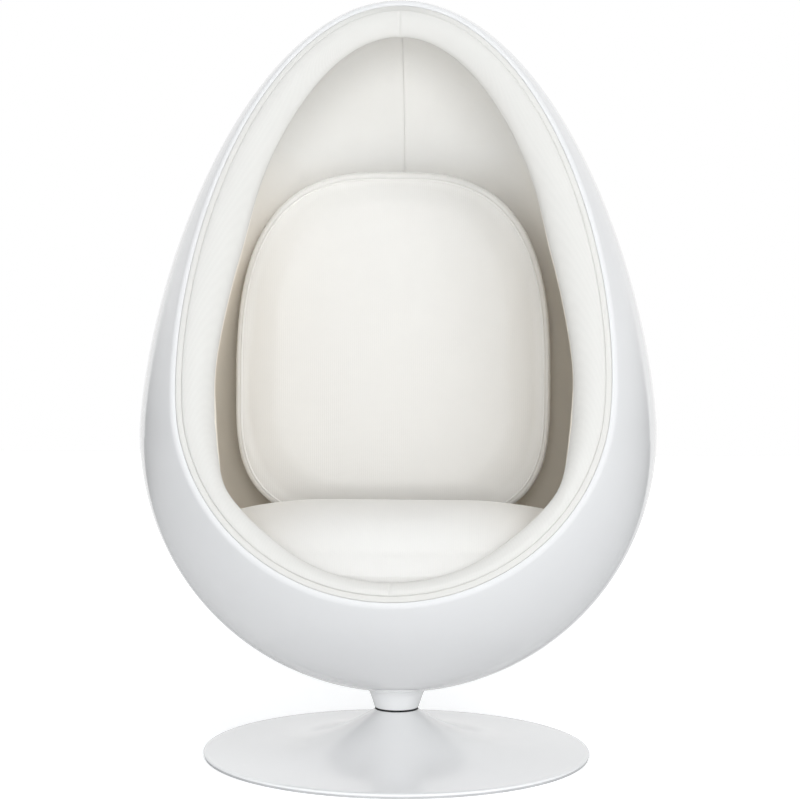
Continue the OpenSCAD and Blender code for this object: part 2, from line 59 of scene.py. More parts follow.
def float_property(name, description, default, **options):
    return bpy.props.FloatProperty(
        name=name, description=description, default=default, **options)


def length(name, description, default):
    return float_property(name, description, default,
                          min=0.0, subtype="DISTANCE", unit="LENGTH", precision=4)


def angle(name, description, degrees):
    return float_property(name, description, math.radians(degrees),
                          subtype="ANGLE", unit="ROTATION")


def share(name, description, default):
    return float_property(name, description, default, min=0.0, precision=3)


def colour(name, description, default):
    return bpy.props.FloatVectorProperty(
        name=name, description=description, default=default,
        subtype="COLOR", size=3, min=0.0, max=1.0)


class PodChairPod(bpy.types.PropertyGroup):
    """Sizes of the pod and its opening"""

    radius: length("Radius", "Outside radius of the pod's round lower half", 0.424)
    upper_height: length("Upper height", "Height of the upper half above the widest level", 0.720)
    fullness: share("Fullness", "Fullness of the upper half, where 2 is an ellipse", 1.58)
    lean: angle("Lean", "Backward lean of the pod", 3)
    centre_height: length("Centre height", "Height of the pod's centre above the floor", 0.528)
    wall: length("Shell wall", "Thickness of the moulded shell", 0.006)
    opening_lean: angle("Opening lean", "Backward lean of the opening's plane", 17)
    opening_reach: length("Opening reach", "Distance from the centre to the opening's plane", 0.259)
    lip_round: length("Lip rounding", "Rounding of the shell's edge", 0.0032)
    hole_radius: length("Fixing hole", "Radius that is open over the neck", 0.040)


class PodChairPadding(bpy.types.PropertyGroup):
    """Sizes of the lining, its welt and its roll"""

    cavity_radius: length("Cavity radius", "Radius of the lining at the widest level", 0.384)
    cavity_low: length("Cavity depth", "Depth of the lining below the widest level", 0.400)
    cavity_up: length("Cavity height", "Height of the lining above the widest level", 0.683)
    low_fullness: share("Lower fullness", "Fullness of the lining's lower half", 2.4)
    up_fullness: share("Upper fullness", "Fullness of the lining's upper half", 1.24)
    welt_width: length("Welt width", "Width of the fabric-covered welt", 0.009)
    welt_dome: length("Welt dome", "Height of the welt's dome", 0.0016)
    roll_depth: length("Roll depth", "Depth of the roll behind the opening's plane", 0.022)
    roll_crown: length("Roll crown", "Height of the roll in front of the opening's plane", 0.004)
    roll_over: length("Roll overhang", "How far the roll stands inward past the lining", 0.004)
    side_swell: length("Side swell", "How far the lining swells beside the back cushion", 0.031)
    seam_depth: length("Seam depth", "Depth of the sewn seams", 0.002)
    seam_width: length("Seam width", "Half width of the dip beside a seam", 0.0024)
    lining_hole: length("Lining hole", "Radius that is open over the fixing plate", 0.100)


class PodChairCushions(bpy.types.PropertyGroup):
    """Sizes of the two loose cushions"""

    seat_height: length("Seat height", "Height of the seat's crown above its flat bottom", 0.159)
    seat_gap: length("Seat gap", "Clear space between the seat cushion and the lining", 0.003)
    seat_side_drop: length("Side drop", "Depth below the crown where the sides turn", 0.058)
    seat_front_drop: length("Front drop", "Further depth of that turn at the front", 0.048)
    seat_dip: length("Seat dip", "Depth of the dip that carries the back cushion", 0.045)
    back_width: length("Back width", "Width of the back cushion", 0.550)
    back_height: length("Back height", "Height of the back cushion", 0.622)
    back_thickness: length("Back thickness", "Thickness of the back cushion at its crown", 0.122)
    back_edge: length("Boxed edge", "Thickness of the back cushion at its boxed edge", 0.040)
    back_bend: length("Back bend", "How far the back cushion's middle sinks to the rear", 0.024)
    piping: length("Piping radius", "Radius of the piping on the back cushion's seams", 0.0021)
    swell: length("Swell", "Most that the filling moves a cover", 0.009)


class PodChairBase(bpy.types.PropertyGroup):
    """Sizes of the pedestal and the neck"""

    foot_radius: length("Foot radius", "Radius of the pedestal's foot", 0.318)
    foot_height: length("Foot height", "Height of the pedestal's neck", 0.0705)
    neck_radius: length("Pedestal neck", "Radius of the pedestal's neck", 0.036)
    edge: length("Foot edge", "Thickness of the foot at its outer edge", 0.004)
    flare: share("Flare", "Steepness of the trumpet", 3.0)
    wall: length("Cast wall", "Wall of the cast pedestal", 0.0055)
    ring: length("Floor ring", "Height of the soft ring under the foot", 0.003)
    hub_radius: length("Hub radius", "Radius of the hub under the pedestal", 0.046)
    ribs: bpy.props.IntProperty(
        name="Ribs", description="Number of ribs under the pedestal", default=6, min=3)
    rib: length("Rib", "Thickness of each rib", 0.005)
    collar_low: length("Neck low radius", "Radius of the neck at its lower end", 0.037)
    collar_top: length("Neck top radius", "Radius of the neck at the shell", 0.052)
    collar_foot: length("Neck foot", "Height of the neck's lower end above the floor", 0.0733)


class PodChairColours(bpy.types.PropertyGroup):
    """Colours of the finishes"""

    gel_coat: colour("Gel coat", "Colour of the moulded shell", (0.73, 0.728, 0.73))
    casting: colour("Casting", "Colour of the painted castings", (0.90, 0.90, 0.90))
    # Painted light: the lining and the roll are the same cloth, but the lining is painted lighter
    # against the shade inside the pod, and the roll, with the welt, darker against the full light
    # on it.
    lining: colour("Lining", "Colour of the lining's cloth", (0.965, 0.955, 0.93))
    # Painted shade: low down the lining's cloth is painted this warmer, darker colour, which stands
    # in for the shade in the crevices beside the cushions.
    lining_painted_shade: colour("Lining low", "Colour of that cloth low down", (0.975, 0.90, 0.785))
    roll: colour("Roll", "Colour of the cloth on the roll and the welt", (0.69, 0.678, 0.65))
    cushion: colour("Cushion", "Colour of the cushions' cloth", (0.785, 0.772, 0.747))
    floor: colour("Floor", "Colour of the studio floor", (0.90, 0.90, 0.90))


def settings():
    """The sizes of pod, padding, cushions and base."""
    scene = bpy.context.scene
    return (scene.pod_chair_pod, scene.pod_chair_padding,
            scene.pod_chair_cushions, scene.pod_chair_base)


# Shaders


class Signal:
    """A value or colour that varies over a surface, written with the usual operators."""

    def __init__(self, finish, socket):
        self.finish = finish
        self.socket = socket

    def maths(self, operation, *values):
        return self.finish.node("ShaderNodeMath", {"operation": operation}, dict(enumerate(values)))

    def __add__(self, other):
        return self.maths("ADD", self, other)

    __radd__ = __add__

    def __sub__(self, other):
        return self.maths("SUBTRACT", self, other)

    def __rsub__(self, other):
        return self.maths("SUBTRACT", other, self)

    def __mul__(self, other):
        return self.maths("MULTIPLY", self, other)

    __rmul__ = __mul__

    def __truediv__(self, other):
        return self.maths("DIVIDE", self, other)

    def __pow__(self, other):
        return self.maths("POWER", self, other)

    def wave(self, rate):
        """A wave between 0 and 1, with this many radians to the metre."""
        return self.maths("SINE", self * rate) * 0.5 + 0.5

    def larger(self, other):
        return self.maths("MAXIMUM", self, other)

    def clamped(self):
        return self.maths("MINIMUM", self.larger(0.0), 1.0)


class Nodes:
    """Adds nodes to a tree."""

    def __init__(self, tree):
        self.tree = tree

    def node(self, kind, settings=None, inputs=None, output=0):
        """Any node, from its kind, its settings, and the values or links of its sockets."""
        made = self.tree.nodes.new(kind)
        for name, value in (settings or {}).items():
            setattr(made, name, value)
        for name, value in (inputs or {}).items():
            self.feed(made.inputs[name], value)
        return Signal(self, made.outputs[output]) if made.outputs else None

    def feed(self, socket, value):
        if isinstance(value, Signal):
            self.tree.links.new(value.socket, socket)
        else:
            socket.default_value = value

    def seen(self):
        """1 for rays that show the backdrop itself: straight, or by way of gloss or glass."""
        rays = ("Is Camera Ray", "Is Glossy Ray", "Is Transmission Ray")
        straight, gloss, glass = [self.node("ShaderNodeLightPath", output=name) for name in rays]
        return straight.larger(gloss).larger(glass)

    def backdrop(self, behind, low):
        """White for the camera, and grey low down in reflections, but for the wall behind.

        Behind is a ray's share of the way backward, and low is 1 low down and 0 high up."""
        grey_from, grey_run, wall_from, wall_run, grey = 0.15, 0.66, 0.815, 0.025, 0.62
        straight = self.node("ShaderNodeLightPath", output="Is Camera Ray")
        wall = ((behind - wall_from) / wall_run).clamped()
        beside = ((behind - grey_from) / grey_run).clamped() * (1 - wall)
        return straight.larger(1 - beside * low * grey)


class Finish(Nodes):
    """A material with one Principled shader, filled from Signals and plain values."""

    def __init__(self, name):
        self.material = bpy.data.materials.new(name)
        self.material.use_nodes = True
        super().__init__(self.material.node_tree)
        self.shader = self.tree.nodes["Principled BSDF"]

    def place(self):
        return self.node("ShaderNodeTexCoord", output="Object")

    def axes(self):
        split = {"Vector": self.place()}
        return [self.node("ShaderNodeSeparateXYZ", inputs=split, output=axis) for axis in "XYZ"]

    def noise(self, scale, detail=3.0, rough=0.5, distort=0.0):
        return self.node("ShaderNodeTexNoise", inputs={
            "Vector": self.place(), "Scale": scale, "Detail": detail, "Roughness": rough,
            "Distortion": distort})

    def blend(self, factor, low, high):
        return self.node("ShaderNodeMix", {"data_type": "RGBA"},
                         {0: factor, 6: low, 7: high}, output=2)

    def set(self, **inputs):
        for name, value in inputs.items():
            self.feed(self.shader.inputs[name.replace("_", " ")], value)

    def bump(self, height, distance):
        return self.node("ShaderNodeBump", inputs={"Height": height, "Distance": distance})


def tone(rgb, factor=1.0):
    return (rgb[0] * factor, rgb[1] * factor, rgb[2] * factor, 1.0)


def gel_coat(name, rgb, gloss=0.06):
    """Glossy white coat with a faint orange peel and a little wear."""
    peel, wear_from, wear = 0.00002, 0.62, 0.25
    f = Finish(name)
    cloud = f.noise(5.0, 2.0)
    fine = f.noise(140.0, 2.0)
    scuff = f.noise(38.0, 6.0, 0.7, 0.4)
    f.set(Base_Color=f.blend(cloud, tone(rgb, 0.985), tone(rgb, 1.01)),
          Roughness=gloss + cloud * 0.02 + (scuff - wear_from).clamped() * wear,
          Coat_Weight=0.5, Coat_Roughness=gloss / 2, IOR=1.5,
          Normal=f.bump(fine + cloud * 4.0, peel))
    return f.material


def cloth(name, rgb, rib, rib_height, round_axis, painted_shade_rgb=None):
    """Matt woven cloth: fine upright ribs, cross threads, a slight mottle and sheen.

    With round_axis the ribs stand round the upright axis, rib apart at the radius given here.
    With painted_shade_rgb the cloth takes that colour low down, a painted shade for the dim
    crevices beside the cushions."""
    rib_radius, wander, thread = 0.34, 0.002, 0.55
    darkest, lightest, painted_shade_top, painted_shade_run = 0.975, 1.02, 0.78, 0.24
    f = Finish(name)
    x, y, z = f.axes()
    across = x.maths("ARCTAN2", x, y) * rib_radius if round_axis else x
    stray = f.noise(9.0, 2.0) * wander
    ribs = (across + stray).wave(2 * math.pi / rib)
    threads = ((z + y * 0.7) + stray).wave(2 * math.pi / (rib * thread))
    fuzz = f.noise(900.0, 2.0, 0.6)
    mottle = f.noise(16.0, 4.0, 0.6)
    weave = ribs * 0.6 + threads * 0.25 + fuzz * 0.35
    shade = (weave * 0.55 + mottle * 0.45).clamped()
    shades = [tone(rgb, darkest), tone(rgb, lightest)]
    # Painted shade: low down the cloth blends into a darker, warmer colour that stands in for the
    # crevices' shade.
    if painted_shade_rgb:
        high = ((z - painted_shade_top) / painted_shade_run).clamped()
        painted_shade_tones = [tone(painted_shade_rgb, darkest), tone(painted_shade_rgb, lightest)]
        shades = [f.blend(high, low, plain) for low, plain in zip(painted_shade_tones, shades)]
    f.set(Base_Color=f.blend(shade, *shades),
          Roughness=0.86 + fuzz * 0.1, Sheen_Weight=0.25, Sheen_Roughness=0.5,
          Specular_IOR_Level=0.2, Normal=f.bump(weave, rib_height))
    return f.material


def foam(name, rgb):
    """Firm foam with fine open cells."""
    f = Finish(name)
    cells = f.node("ShaderNodeTexVoronoi", inputs={"Vector": f.place(), "Scale": 420.0},
                   output="Distance")
    f.set(Base_Color=f.blend(cells, tone(rgb, 0.8), tone(rgb)), Roughness=0.95 - cells * 0.1,
          Normal=f.bump(cells, 0.0008))
    return f.material


def metal(name, rgb, rough, grain, turned=True):
    """Machined metal with fine turning lines round the swivel axis, or scattered scratches."""
    f = Finish(name)
    x, y, z = f.axes()
    if turned:
        far = (x * x + y * y) ** 0.5
        lines = (far + z).wave(9000.0)
    else:
        lines = f.noise(600.0, 4.0, 0.7)
    smear = f.noise(60.0, 5.0, 0.65)
    f.set(Base_Color=f.blend(smear, tone(rgb, 0.85), tone(rgb)), Metallic=1.0,
          Roughness=rough + smear * 0.15 + lines * 0.06, Normal=f.bump(lines, grain))
    return f.material


def rubber(name, rgb):
    """Matt rubber with a fine grain and a little dust."""
    f = Finish(name)
    fine = f.noise(420.0, 4.0, 0.7)
    dust = f.noise(26.0, 4.0)
    f.set(Base_Color=f.blend(dust, tone(rgb), tone(rgb, 1.5)), Roughness=0.62 + fine * 0.2,
          Normal=f.bump(fine, 0.0002))
    return f.material


def laminate(name, rgb):
    """Glass-fibre laminate: chopped strands under resin."""
    f = Finish(name)
    strands = f.noise(160.0, 6.0, 0.8, 3.0)
    f.set(Base_Color=f.blend(strands, tone(rgb, 0.75), tone(rgb)), Roughness=0.3 + strands * 0.3,
          Coat_Weight=0.2, Normal=f.bump(strands, 0.0004))
    return f.material


# Forms


def furthest(holds, count, reach, halvings):
    """The furthest distance at which a test holds, for each of several lines, by halving."""
    near, far = np.zeros(count), np.full(count, reach)
    for _ in range(halvings):
        half = (near + far) / 2
        yes = holds(half)
        near, far = np.where(yes, half, near), np.where(yes, far, half)
    return near


class PodForm:
    """The pod's egg, the lining's cavity and the opening's plane, all in metres.

    An egg is its radius, its depth and height from the widest level, and its two fullnesses. A
    place in the opening's plane is x across and up along it."""

    MIDDLE = 0.22  # share of the upper height at which the sections' angles meet

    def __init__(self):
        pod, padding, _, _ = settings()
        self.lean = pod.lean
        self.turn = pod.opening_lean - pod.lean
        self.reach = pod.opening_reach
        self.centre = pod.centre_height
        self.middle = pod.upper_height * self.MIDDLE
        self.outside = (pod.radius, pod.radius, pod.upper_height, 2.0, pod.fullness)
        self.cavity = (padding.cavity_radius, padding.cavity_low, padding.cavity_up,
                       padding.low_fullness, padding.up_fullness)

    def inset(self, distance):
        radius, low, up, low_full, up_full = self.outside
        return (radius - distance, low - distance, up - distance, low_full, up_full)

    @staticmethod
    def radius(egg, height):
        radius, low, up, low_full, up_full = egg
        below = radius * np.sqrt(np.clip(1 - np.clip(-height / low, 0, None) ** low_full, 0, None))
        above = radius * np.sqrt(np.clip(1 - np.clip(height / up, 0, None) ** up_full, 0, None))
        return np.where(height < 0, below, above)

    def pod_axes(self, up, ahead):
        """Distance forward of the pod's axis and height along it, for points near the plane."""
        reach = self.reach + ahead
        return (reach * math.cos(self.turn) - up * math.sin(self.turn),
                reach * math.sin(self.turn) + up * math.cos(self.turn))

    def room(self, egg, x, up, ahead):
        """How far inside an egg a place lies, and negative outside."""
        forward, height = self.pod_axes(up, ahead)
        beyond = np.maximum(height - egg[2], -egg[1] - height)
        return np.where(beyond > 0, -beyond, self.radius(egg, height) - np.hypot(x, forward))

    def world(self, x, up, ahead):
        forward, height = self.pod_axes(up, ahead)
        return self.from_pod(x, forward, height)

    def from_pod(self, x, forward, height):
        c, s = math.cos(self.lean), math.sin(self.lean)
        return np.stack(np.broadcast_arrays(
            x, -forward * c + height * s, self.centre + forward * s + height * c), -1)

    def to_pod(self, points):
        c, s = math.cos(self.lean), math.sin(self.lean)
        y, z = points[:, 1], points[:, 2] - self.centre
        return points[:, 0], -y * c + z * s, y * s + z * c

    def deepest(self, egg):
        """Depth behind the plane, and place in it, of the egg's rearmost point."""
        height = np.linspace(-egg[1], 0, 4001)
        far = self.radius(egg, height)
        depth = self.reach + far * math.cos(self.turn) - height * math.sin(self.turn)
        k = int(np.argmax(depth))
        up = far[k] * math.sin(self.turn) + height[k] * math.cos(self.turn)
        return float(depth[k]), float(up)

    def ring(self, egg, depth, angles, pole=None):
        """Points of the egg's section at a depth behind the plane, one at each angle."""
        last, low = pole or self.deepest(egg)
        middle = self.middle + (low - self.middle) * max(depth, 0.0) / last
        across, rise = np.cos(angles), np.sin(angles)
        far = furthest(lambda r: self.room(egg, r * across, middle + r * rise, -depth) > 0,
                       count=len(angles), reach=1.2, halvings=40)
        return far * across, middle + far * rise

    def inward(self, egg, x, up, depth):
        """Unit directions inward in the plane, across the egg's section."""
        step = 1e-5
        gx = self.room(egg, x + step, up, -depth) - self.room(egg, x - step, up, -depth)
        gu = self.room(egg, x, up + step, -depth) - self.room(egg, x, up - step, -depth)
        size = np.hypot(gx, gu)
        return gx / size, gu / size

    def rim(self, angles):
        """Points of the shell's outside in the opening's plane, and the directions inward."""
        x, up = self.ring(self.outside, 0.0, angles)
        return (x, up, *self.inward(self.outside, x, up, 0.0))

    def edge_inset(self, egg, x, up, nx, nu, depth):
        """How far inward from the rim the egg's section lies at a depth."""
        return furthest(lambda r: ~(self.room(egg, x + nx * r, up + nu * r, -depth) > 0),
                        count=len(x), reach=0.2, halvings=36)

    def pole_point(self, pole, beyond=0.0):
        """The point at a pole from deepest(), or beyond it."""
        return self.world(np.array([0.0]), np.array([pole[1]]), -pole[0] - beyond)[0]


def eased(value):
    """Smooth step from 0 to 1 over the same range of the value."""
    t = np.clip(value, 0, 1)
    return t * t * (3 - 2 * t)


def side_swell(up, depth):
    """How far the filling swells the lining inward, by height and depth in the opening's axes.

    It is most at the sides just behind the roll, less at the top, and none at the seat."""
    _, padding, _, _ = settings()
    rise = 0.3  # of the depth, by which the pattern climbs towards the back
    foot, foot_run = -0.21, 0.093  # where the swell begins above the seat, and its run
    top, top_run, top_loss = 0.22, 0.22, 0.65
    full, full_width, full_share = -0.062, 0.062, 0.36  # the fuller place at the elbows
    full_foot, full_run = -0.19, 0.06
    neck, neck_run = 0.34, 0.023  # what the roll holds back, and over which depth
    fade = 0.185

    behind = depth - padding.roll_depth
    above = up - rise * depth
    level = (np.sin(np.pi / 2 * np.clip((above - foot) / foot_run, 0, 1))
             * (1 - top_loss * eased((up - top) / top_run)))
    level += (full_share * np.exp(-((above - full) / full_width) ** 2)
              * eased((above - full_foot) / full_run))
    near = 1 - neck * (1 - np.clip(behind / neck_run, 0, 1)) ** 2
    return padding.side_swell * level * near * (1 - eased((behind - neck_run) / fade))


SEAM_STEPS = (0.0, 0.1, 0.2, 0.32, 0.46, 0.65, 0.9, 1.2)  # degrees away from a seam


def ring_angles(count=118):
    """Angles on the right of the opening and all round it, closer together beside the seams."""
    from_seam, to_seam = [-90 + a for a in SEAM_STEPS], [90 - a for a in reversed(SEAM_STEPS)]
    right = from_seam + list(np.linspace(-88.2, 88.2, count)) + to_seam
    left = [180 - a for a in right[-2:0:-1]]
    return np.radians(np.array(right)), np.radians(np.array(right + left))


# Meshes


def grid_faces(rows, columns, closed=True, looped=False, start=0):
    """Faces between rows of points. Each row may be closed, and the last may meet the first."""
    faces = []
    for r in range(rows if looped else rows - 1):
        here, there = start + r * columns, start + (r + 1) % rows * columns
        for c in range(columns if closed else columns - 1):
            d = (c + 1) % columns
            faces.append((here + c, here + d, there + d, there + c))
    return faces


def fan(pole, start, columns, closed=True, flip=False):
    """Faces between a pole and a row of points."""
    ring = [start + c % columns for c in range(columns + 1 if closed else columns)]
    return [(pole, b, a) if flip else (pole, a, b) for a, b in zip(ring, ring[1:])]


def ring_solid(rows, start, end):
    """Points and faces of a closed form from rings of points, with a pole at each end."""
    n = len(rows[0])
    points = np.concatenate([np.concatenate(rows), [start], [end]])
    last = len(points) - 1
    faces = grid_faces(len(rows), n) + fan(last - 1, 0, n, flip=True)
    return points, faces + fan(last, (len(rows) - 1) * n, n)


def face_sides(faces):
    """Every face's edges in its own direction."""
    return [side for face in faces for side in zip(face, face[1:] + face[:1])]


def open_bottom(points, faces, partner, radius, sphere):
    """Opens a round hole over the swivel axis through two layers of faces, and walls it.

    Partner gives the inner point for each outer one, and sphere is the bottom's centre."""
    highest = 0.3  # the hole is cut only below this height
    inside = (np.hypot(points[:, 0], points[:, 1]) < radius) & (points[:, 2] < highest)
    outer = {a for a in partner if inside[a]}
    gone = outer | {partner[a] for a in outer}
    kept = [f for f in faces if not any(v in gone for v in f)]
    border = {v for f in faces if any(v in gone for v in f) for v in f} - gone
    both = {a for a in border if a in partner and partner[a] in border}
    for a in both | {partner[a] for a in both}:
        p = points[a]
        reach = math.dist(p, sphere)
        p[:2] *= radius / math.hypot(p[0], p[1])
        p[2] = sphere[2] - math.sqrt(max(0.0, reach * reach - radius * radius))
    sides = dict.fromkeys(face_sides(kept))
    return kept + [(b, a, partner[a], partner[b]) for a, b in sides
                   if a in both and b in both and (b, a) not in sides]


def new_mesh(name, points, faces):
    mesh = bpy.data.meshes.new(name)
    mesh.from_pydata([tuple(map(float, p)) for p in points], [],
                     [tuple(map(int, f)) for f in faces])
    return mesh


def new_object(name, data):
    made = bpy.data.objects.new(name, data)
    bpy.context.scene.collection.objects.link(made)
    return made


def add_piece(name, points, faces, material, body, replaces=(), crease=None):
    """Makes a smooth-shaded piece, sharp above the crease angle, that rides on a body."""
    mesh = new_mesh(name, points, faces)
    bm = bmesh.new()
    bm.from_mesh(mesh)
    loose = [v for v in bm.verts if not v.link_faces]
    bmesh.ops.delete(bm, geom=loose, context="VERTS")
    bmesh.ops.recalc_face_normals(bm, faces=bm.faces)
    bm.to_mesh(mesh)
    bm.free()
    mesh.polygons.foreach_set("use_smooth", [True] * len(mesh.polygons))
    if crease is not None:
        mesh.set_sharp_from_angle(angle=math.radians(crease))
    made = new_object(name, mesh)
    mesh.materials.append(material)
    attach(made, body)
    if replaces:
        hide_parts(*replaces)
    return made


def lathe(profile, steps=192):
    """Closed solid of revolution from a closed outline of (radius, height) points."""
    turns = np.linspace(0, 2 * math.pi, steps, endpoint=False)
    points = [(r * math.cos(t), r * math.sin(t), z) for r, z in profile for t in turns]
    return np.array(points), grid_faces(len(profile), steps, looped=True)


def rounded(corners, steps=3):
    """A closed outline from (radius, height) corners. A third value rounds its corner."""
    places = [np.array(corner[:2]) for corner in corners]
    out = []
    for k, (p, corner) in enumerate(zip(places, corners)):
        if len(corner) < 3:
            out.append(corner)
            continue
        a, b = places[k - 1] - p, places[(k + 1) % len(places)] - p
        la, lb = np.linalg.norm(a), np.linalg.norm(b)
        cut = min(corner[2], la * 0.45, lb * 0.45)
        start, end = p + a / la * cut, p + b / lb * cut
        for i in range(steps + 1):
            t = i / steps
            out.append(tuple((1 - t) ** 2 * start + 2 * t * (1 - t) * p + t * t * end))
    return out


# Cushion filling


def fill_cover(points, faces, sink, rise, shrink=0.008, voxel=0.006, frames=20, pressure=4.0):
    """Simulates a filled cover: a shrunk copy is remeshed, inflated as cloth, and read back.

    The moves are eased over the cover. Along its normal a point may sink and rise by its own
    lengths."""
    passes, kept, given_back = 30, 0.6, 0.6  # easing, share of the moves, share of the shrinking
    mesh = new_mesh("cover_trial", points, faces)
    bm = bmesh.new()
    bm.from_mesh(mesh)
    bmesh.ops.recalc_face_normals(bm, faces=bm.faces)
    bm.normal_update()
    normals = np.array([tuple(v.normal) for v in bm.verts])
    for v in bm.verts:
        v.co -= v.normal * shrink
    bm.to_mesh(mesh)
    bm.free()
    trial = new_object("cover_trial", mesh)
    bpy.context.view_layer.objects.active = trial
    remesh = trial.modifiers.new("Remesh", "REMESH")
    remesh.mode = "VOXEL"
    remesh.voxel_size = voxel
    filling = trial.modifiers.new("Cloth", "CLOTH")
    fabric = filling.settings
    fabric.use_pressure = True
    fabric.uniform_pressure_force = pressure
    fabric.effector_weights.gravity = 0.0
    fabric.quality = 4
    fabric.tension_stiffness = 12
    fabric.compression_stiffness = 12
    fabric.bending_stiffness = 2.0
    filling.point_cache.frame_start = 1
    filling.point_cache.frame_end = frames
    scene = bpy.context.scene
    for tick in range(1, frames + 1):
        scene.frame_set(tick)
    tree = BVHTree.FromObject(trial, bpy.context.evaluated_depsgraph_get())
    steps = np.zeros((len(points), 3))
    for i, p in enumerate(points):
        place = tree.find_nearest(Vector(p))[0]
        if place is None:
            raise RuntimeError("the filled cover has no surface")
        steps[i] = np.array(place) - p
    sides = np.array(face_sides(faces))
    count = np.bincount(sides[:, 0], minlength=len(points))[:, None]
    for _ in range(passes):
        total = np.zeros_like(steps)
        np.add.at(total, sides[:, 0], steps[sides[:, 1]])
        steps = (steps + total / count) / 2
    proud = kept * ((steps * normals).sum(1) + given_back * shrink)
    moved = points + normals * np.clip(proud, -sink, rise)[:, None]
    scene.frame_set(1)
    bpy.data.objects.remove(trial)
    bpy.data.meshes.remove(mesh)
    return moved


# Pieces


class PodChairShell(bpy.types.Operator):
    """Builds the glossy moulded shell with its rounded edge"""

    bl_idname = "pod_chair.shell"
    bl_label = "Shell"

    def execute(self, context):
        pod, _, _, _ = settings()
        inner_round = 0.0012  # rounding of the edge towards the welt
        form = PodForm()
        _, angles = ring_angles()
        n = len(angles)
        inner = form.inset(pod.wall)
        pole = form.deepest(form.outside)
        depths = pole[0] * np.sin(np.radians(np.linspace(89.2, 1.2, 76)))
        depths = [d for d in depths if d > 0.012] + [0.009, 0.006]

        outer = [form.world(*form.ring(form.outside, d, angles, pole), -d) for d in depths]
        edge = []
        for turn in np.radians(np.linspace(0, 90, 6)):
            d = pod.lip_round * (1 - math.sin(turn))
            x, up = form.ring(form.outside, d, angles, pole)
            nx, nu = form.inward(form.outside, x, up, d)
            inset = pod.lip_round * (1 - math.cos(turn))
            edge.append(form.world(x + nx * inset, up + nu * inset, -d))
        x, up, nx, nu = form.rim(angles)
        wide = form.edge_inset(inner, x, up, nx, nu, 0.0)
        for turn in np.radians(np.linspace(0, 90, 4)):
            inset = wide - inner_round * (1 - math.sin(turn))
            ahead = -inner_round * (1 - math.cos(turn))
            edge.append(form.world(x + nx * inset, up + nu * inset, ahead))
        back = [form.world(*form.ring(inner, d, angles, pole), -d) for d in reversed(depths)]

        rows = outer + edge + back
        start, end = form.pole_point(pole), form.pole_point(form.deepest(inner))
        points, faces = ring_solid(rows, start, end)
        partner = {r * n + c: (len(rows) - 1 - r) * n + c
                   for r in range(len(outer)) for c in range(n)}
        faces = open_bottom(points, faces, partner, pod.hole_radius, (0.0, 0.0, form.centre))
        finish = gel_coat("gel_coat", context.scene.pod_chair_colours.gel_coat)
        add_piece("shell", points, faces, finish, "pod", ["outer_shell"], crease=60)
        return {"FINISHED"}


def sweep(form, rows, angles):
    """Points and faces of a closed section carried round the opening.

    A row holds the distances inward from the rim and ahead of the opening's plane."""
    x, up, nx, nu = form.rim(angles)
    points = np.concatenate([form.world(x + nx * p, up + nu * p, a) for p, a in rows])
    return points, grid_faces(len(rows), len(angles), looped=True)


def rim_insets(form, padding, angles):
    """What the welt and the roll share at each angle.

    Distances across and heights behind the roll, and the insets from the rim of the shell's inside,
    of the lining at the rim and of the lining behind the roll."""
    pod, _, _, _ = settings()
    x, up, nx, nu = form.rim(angles)
    sections = (form.inset(pod.wall), 0.0), (form.cavity, 0.0), (form.cavity, padding.roll_depth)
    shell, lining, behind = [form.edge_inset(egg, x, up, nx, nu, depth) for egg, depth in sections]
    return x, up + nu * behind, shell, lining, behind


def seam_dip(x, padding):
    """Depth of the dip beside the middle seam, from the distance across."""
    sharp = np.exp(-((x / padding.seam_width) ** 2))
    soft = np.exp(-((x / (padding.seam_width * 4)) ** 2))
    return padding.seam_depth * (0.75 * sharp + 0.25 * soft)


BOTTOM = -0.27  # height in the opening's plane at which the roll's bottom part ends


def seam_open(up):
    """Share of the groove between welt and roll: it closes towards the bottom."""
    least, run = 0.15, 0.2
    return least + (1 - least) * eased((up - BOTTOM) / run)


class PodChairWelt(bpy.types.Operator):
    """Builds the fabric-covered welt inside the shell's edge"""

    bl_idname = "pod_chair.welt"
    bl_label = "Welt"

    def execute(self, context):
        _, padding, _, _ = settings()
        form = PodForm()
        _, angles = ring_angles()
        clear, proud, inner_foot, fullness = 0.0001, 0.0006, 0.4, 0.55
        x, up, shell, _, _ = rim_insets(form, padding, angles)
        start = shell + clear
        rows = [(start, np.full(len(x), -padding.roll_depth))]
        for turn in np.radians(np.linspace(0, 180, 15)):
            inset = start + padding.welt_width * (1 - math.cos(turn)) / 2
            foot = padding.welt_dome * (1 if turn < math.pi / 2 else inner_foot * seam_open(up))
            ahead = -foot + (foot + proud) * math.sin(turn) ** fullness
            rows.append((inset, np.full(len(x), ahead)))
        rows.append((start + padding.welt_width, np.full(len(x), -padding.roll_depth)))
        points, faces = sweep(form, rows, angles)
        # Painted light: the welt takes the roll's colour, painted darker than the lining's same
        # cloth against the full light on the rim.
        finish = cloth("welt_cloth", context.scene.pod_chair_colours.roll, 0.0016, 0.0002, True)
        add_piece("welt", points, faces, finish, "pod", ["edge_welt"])
        return {"FINISHED"}


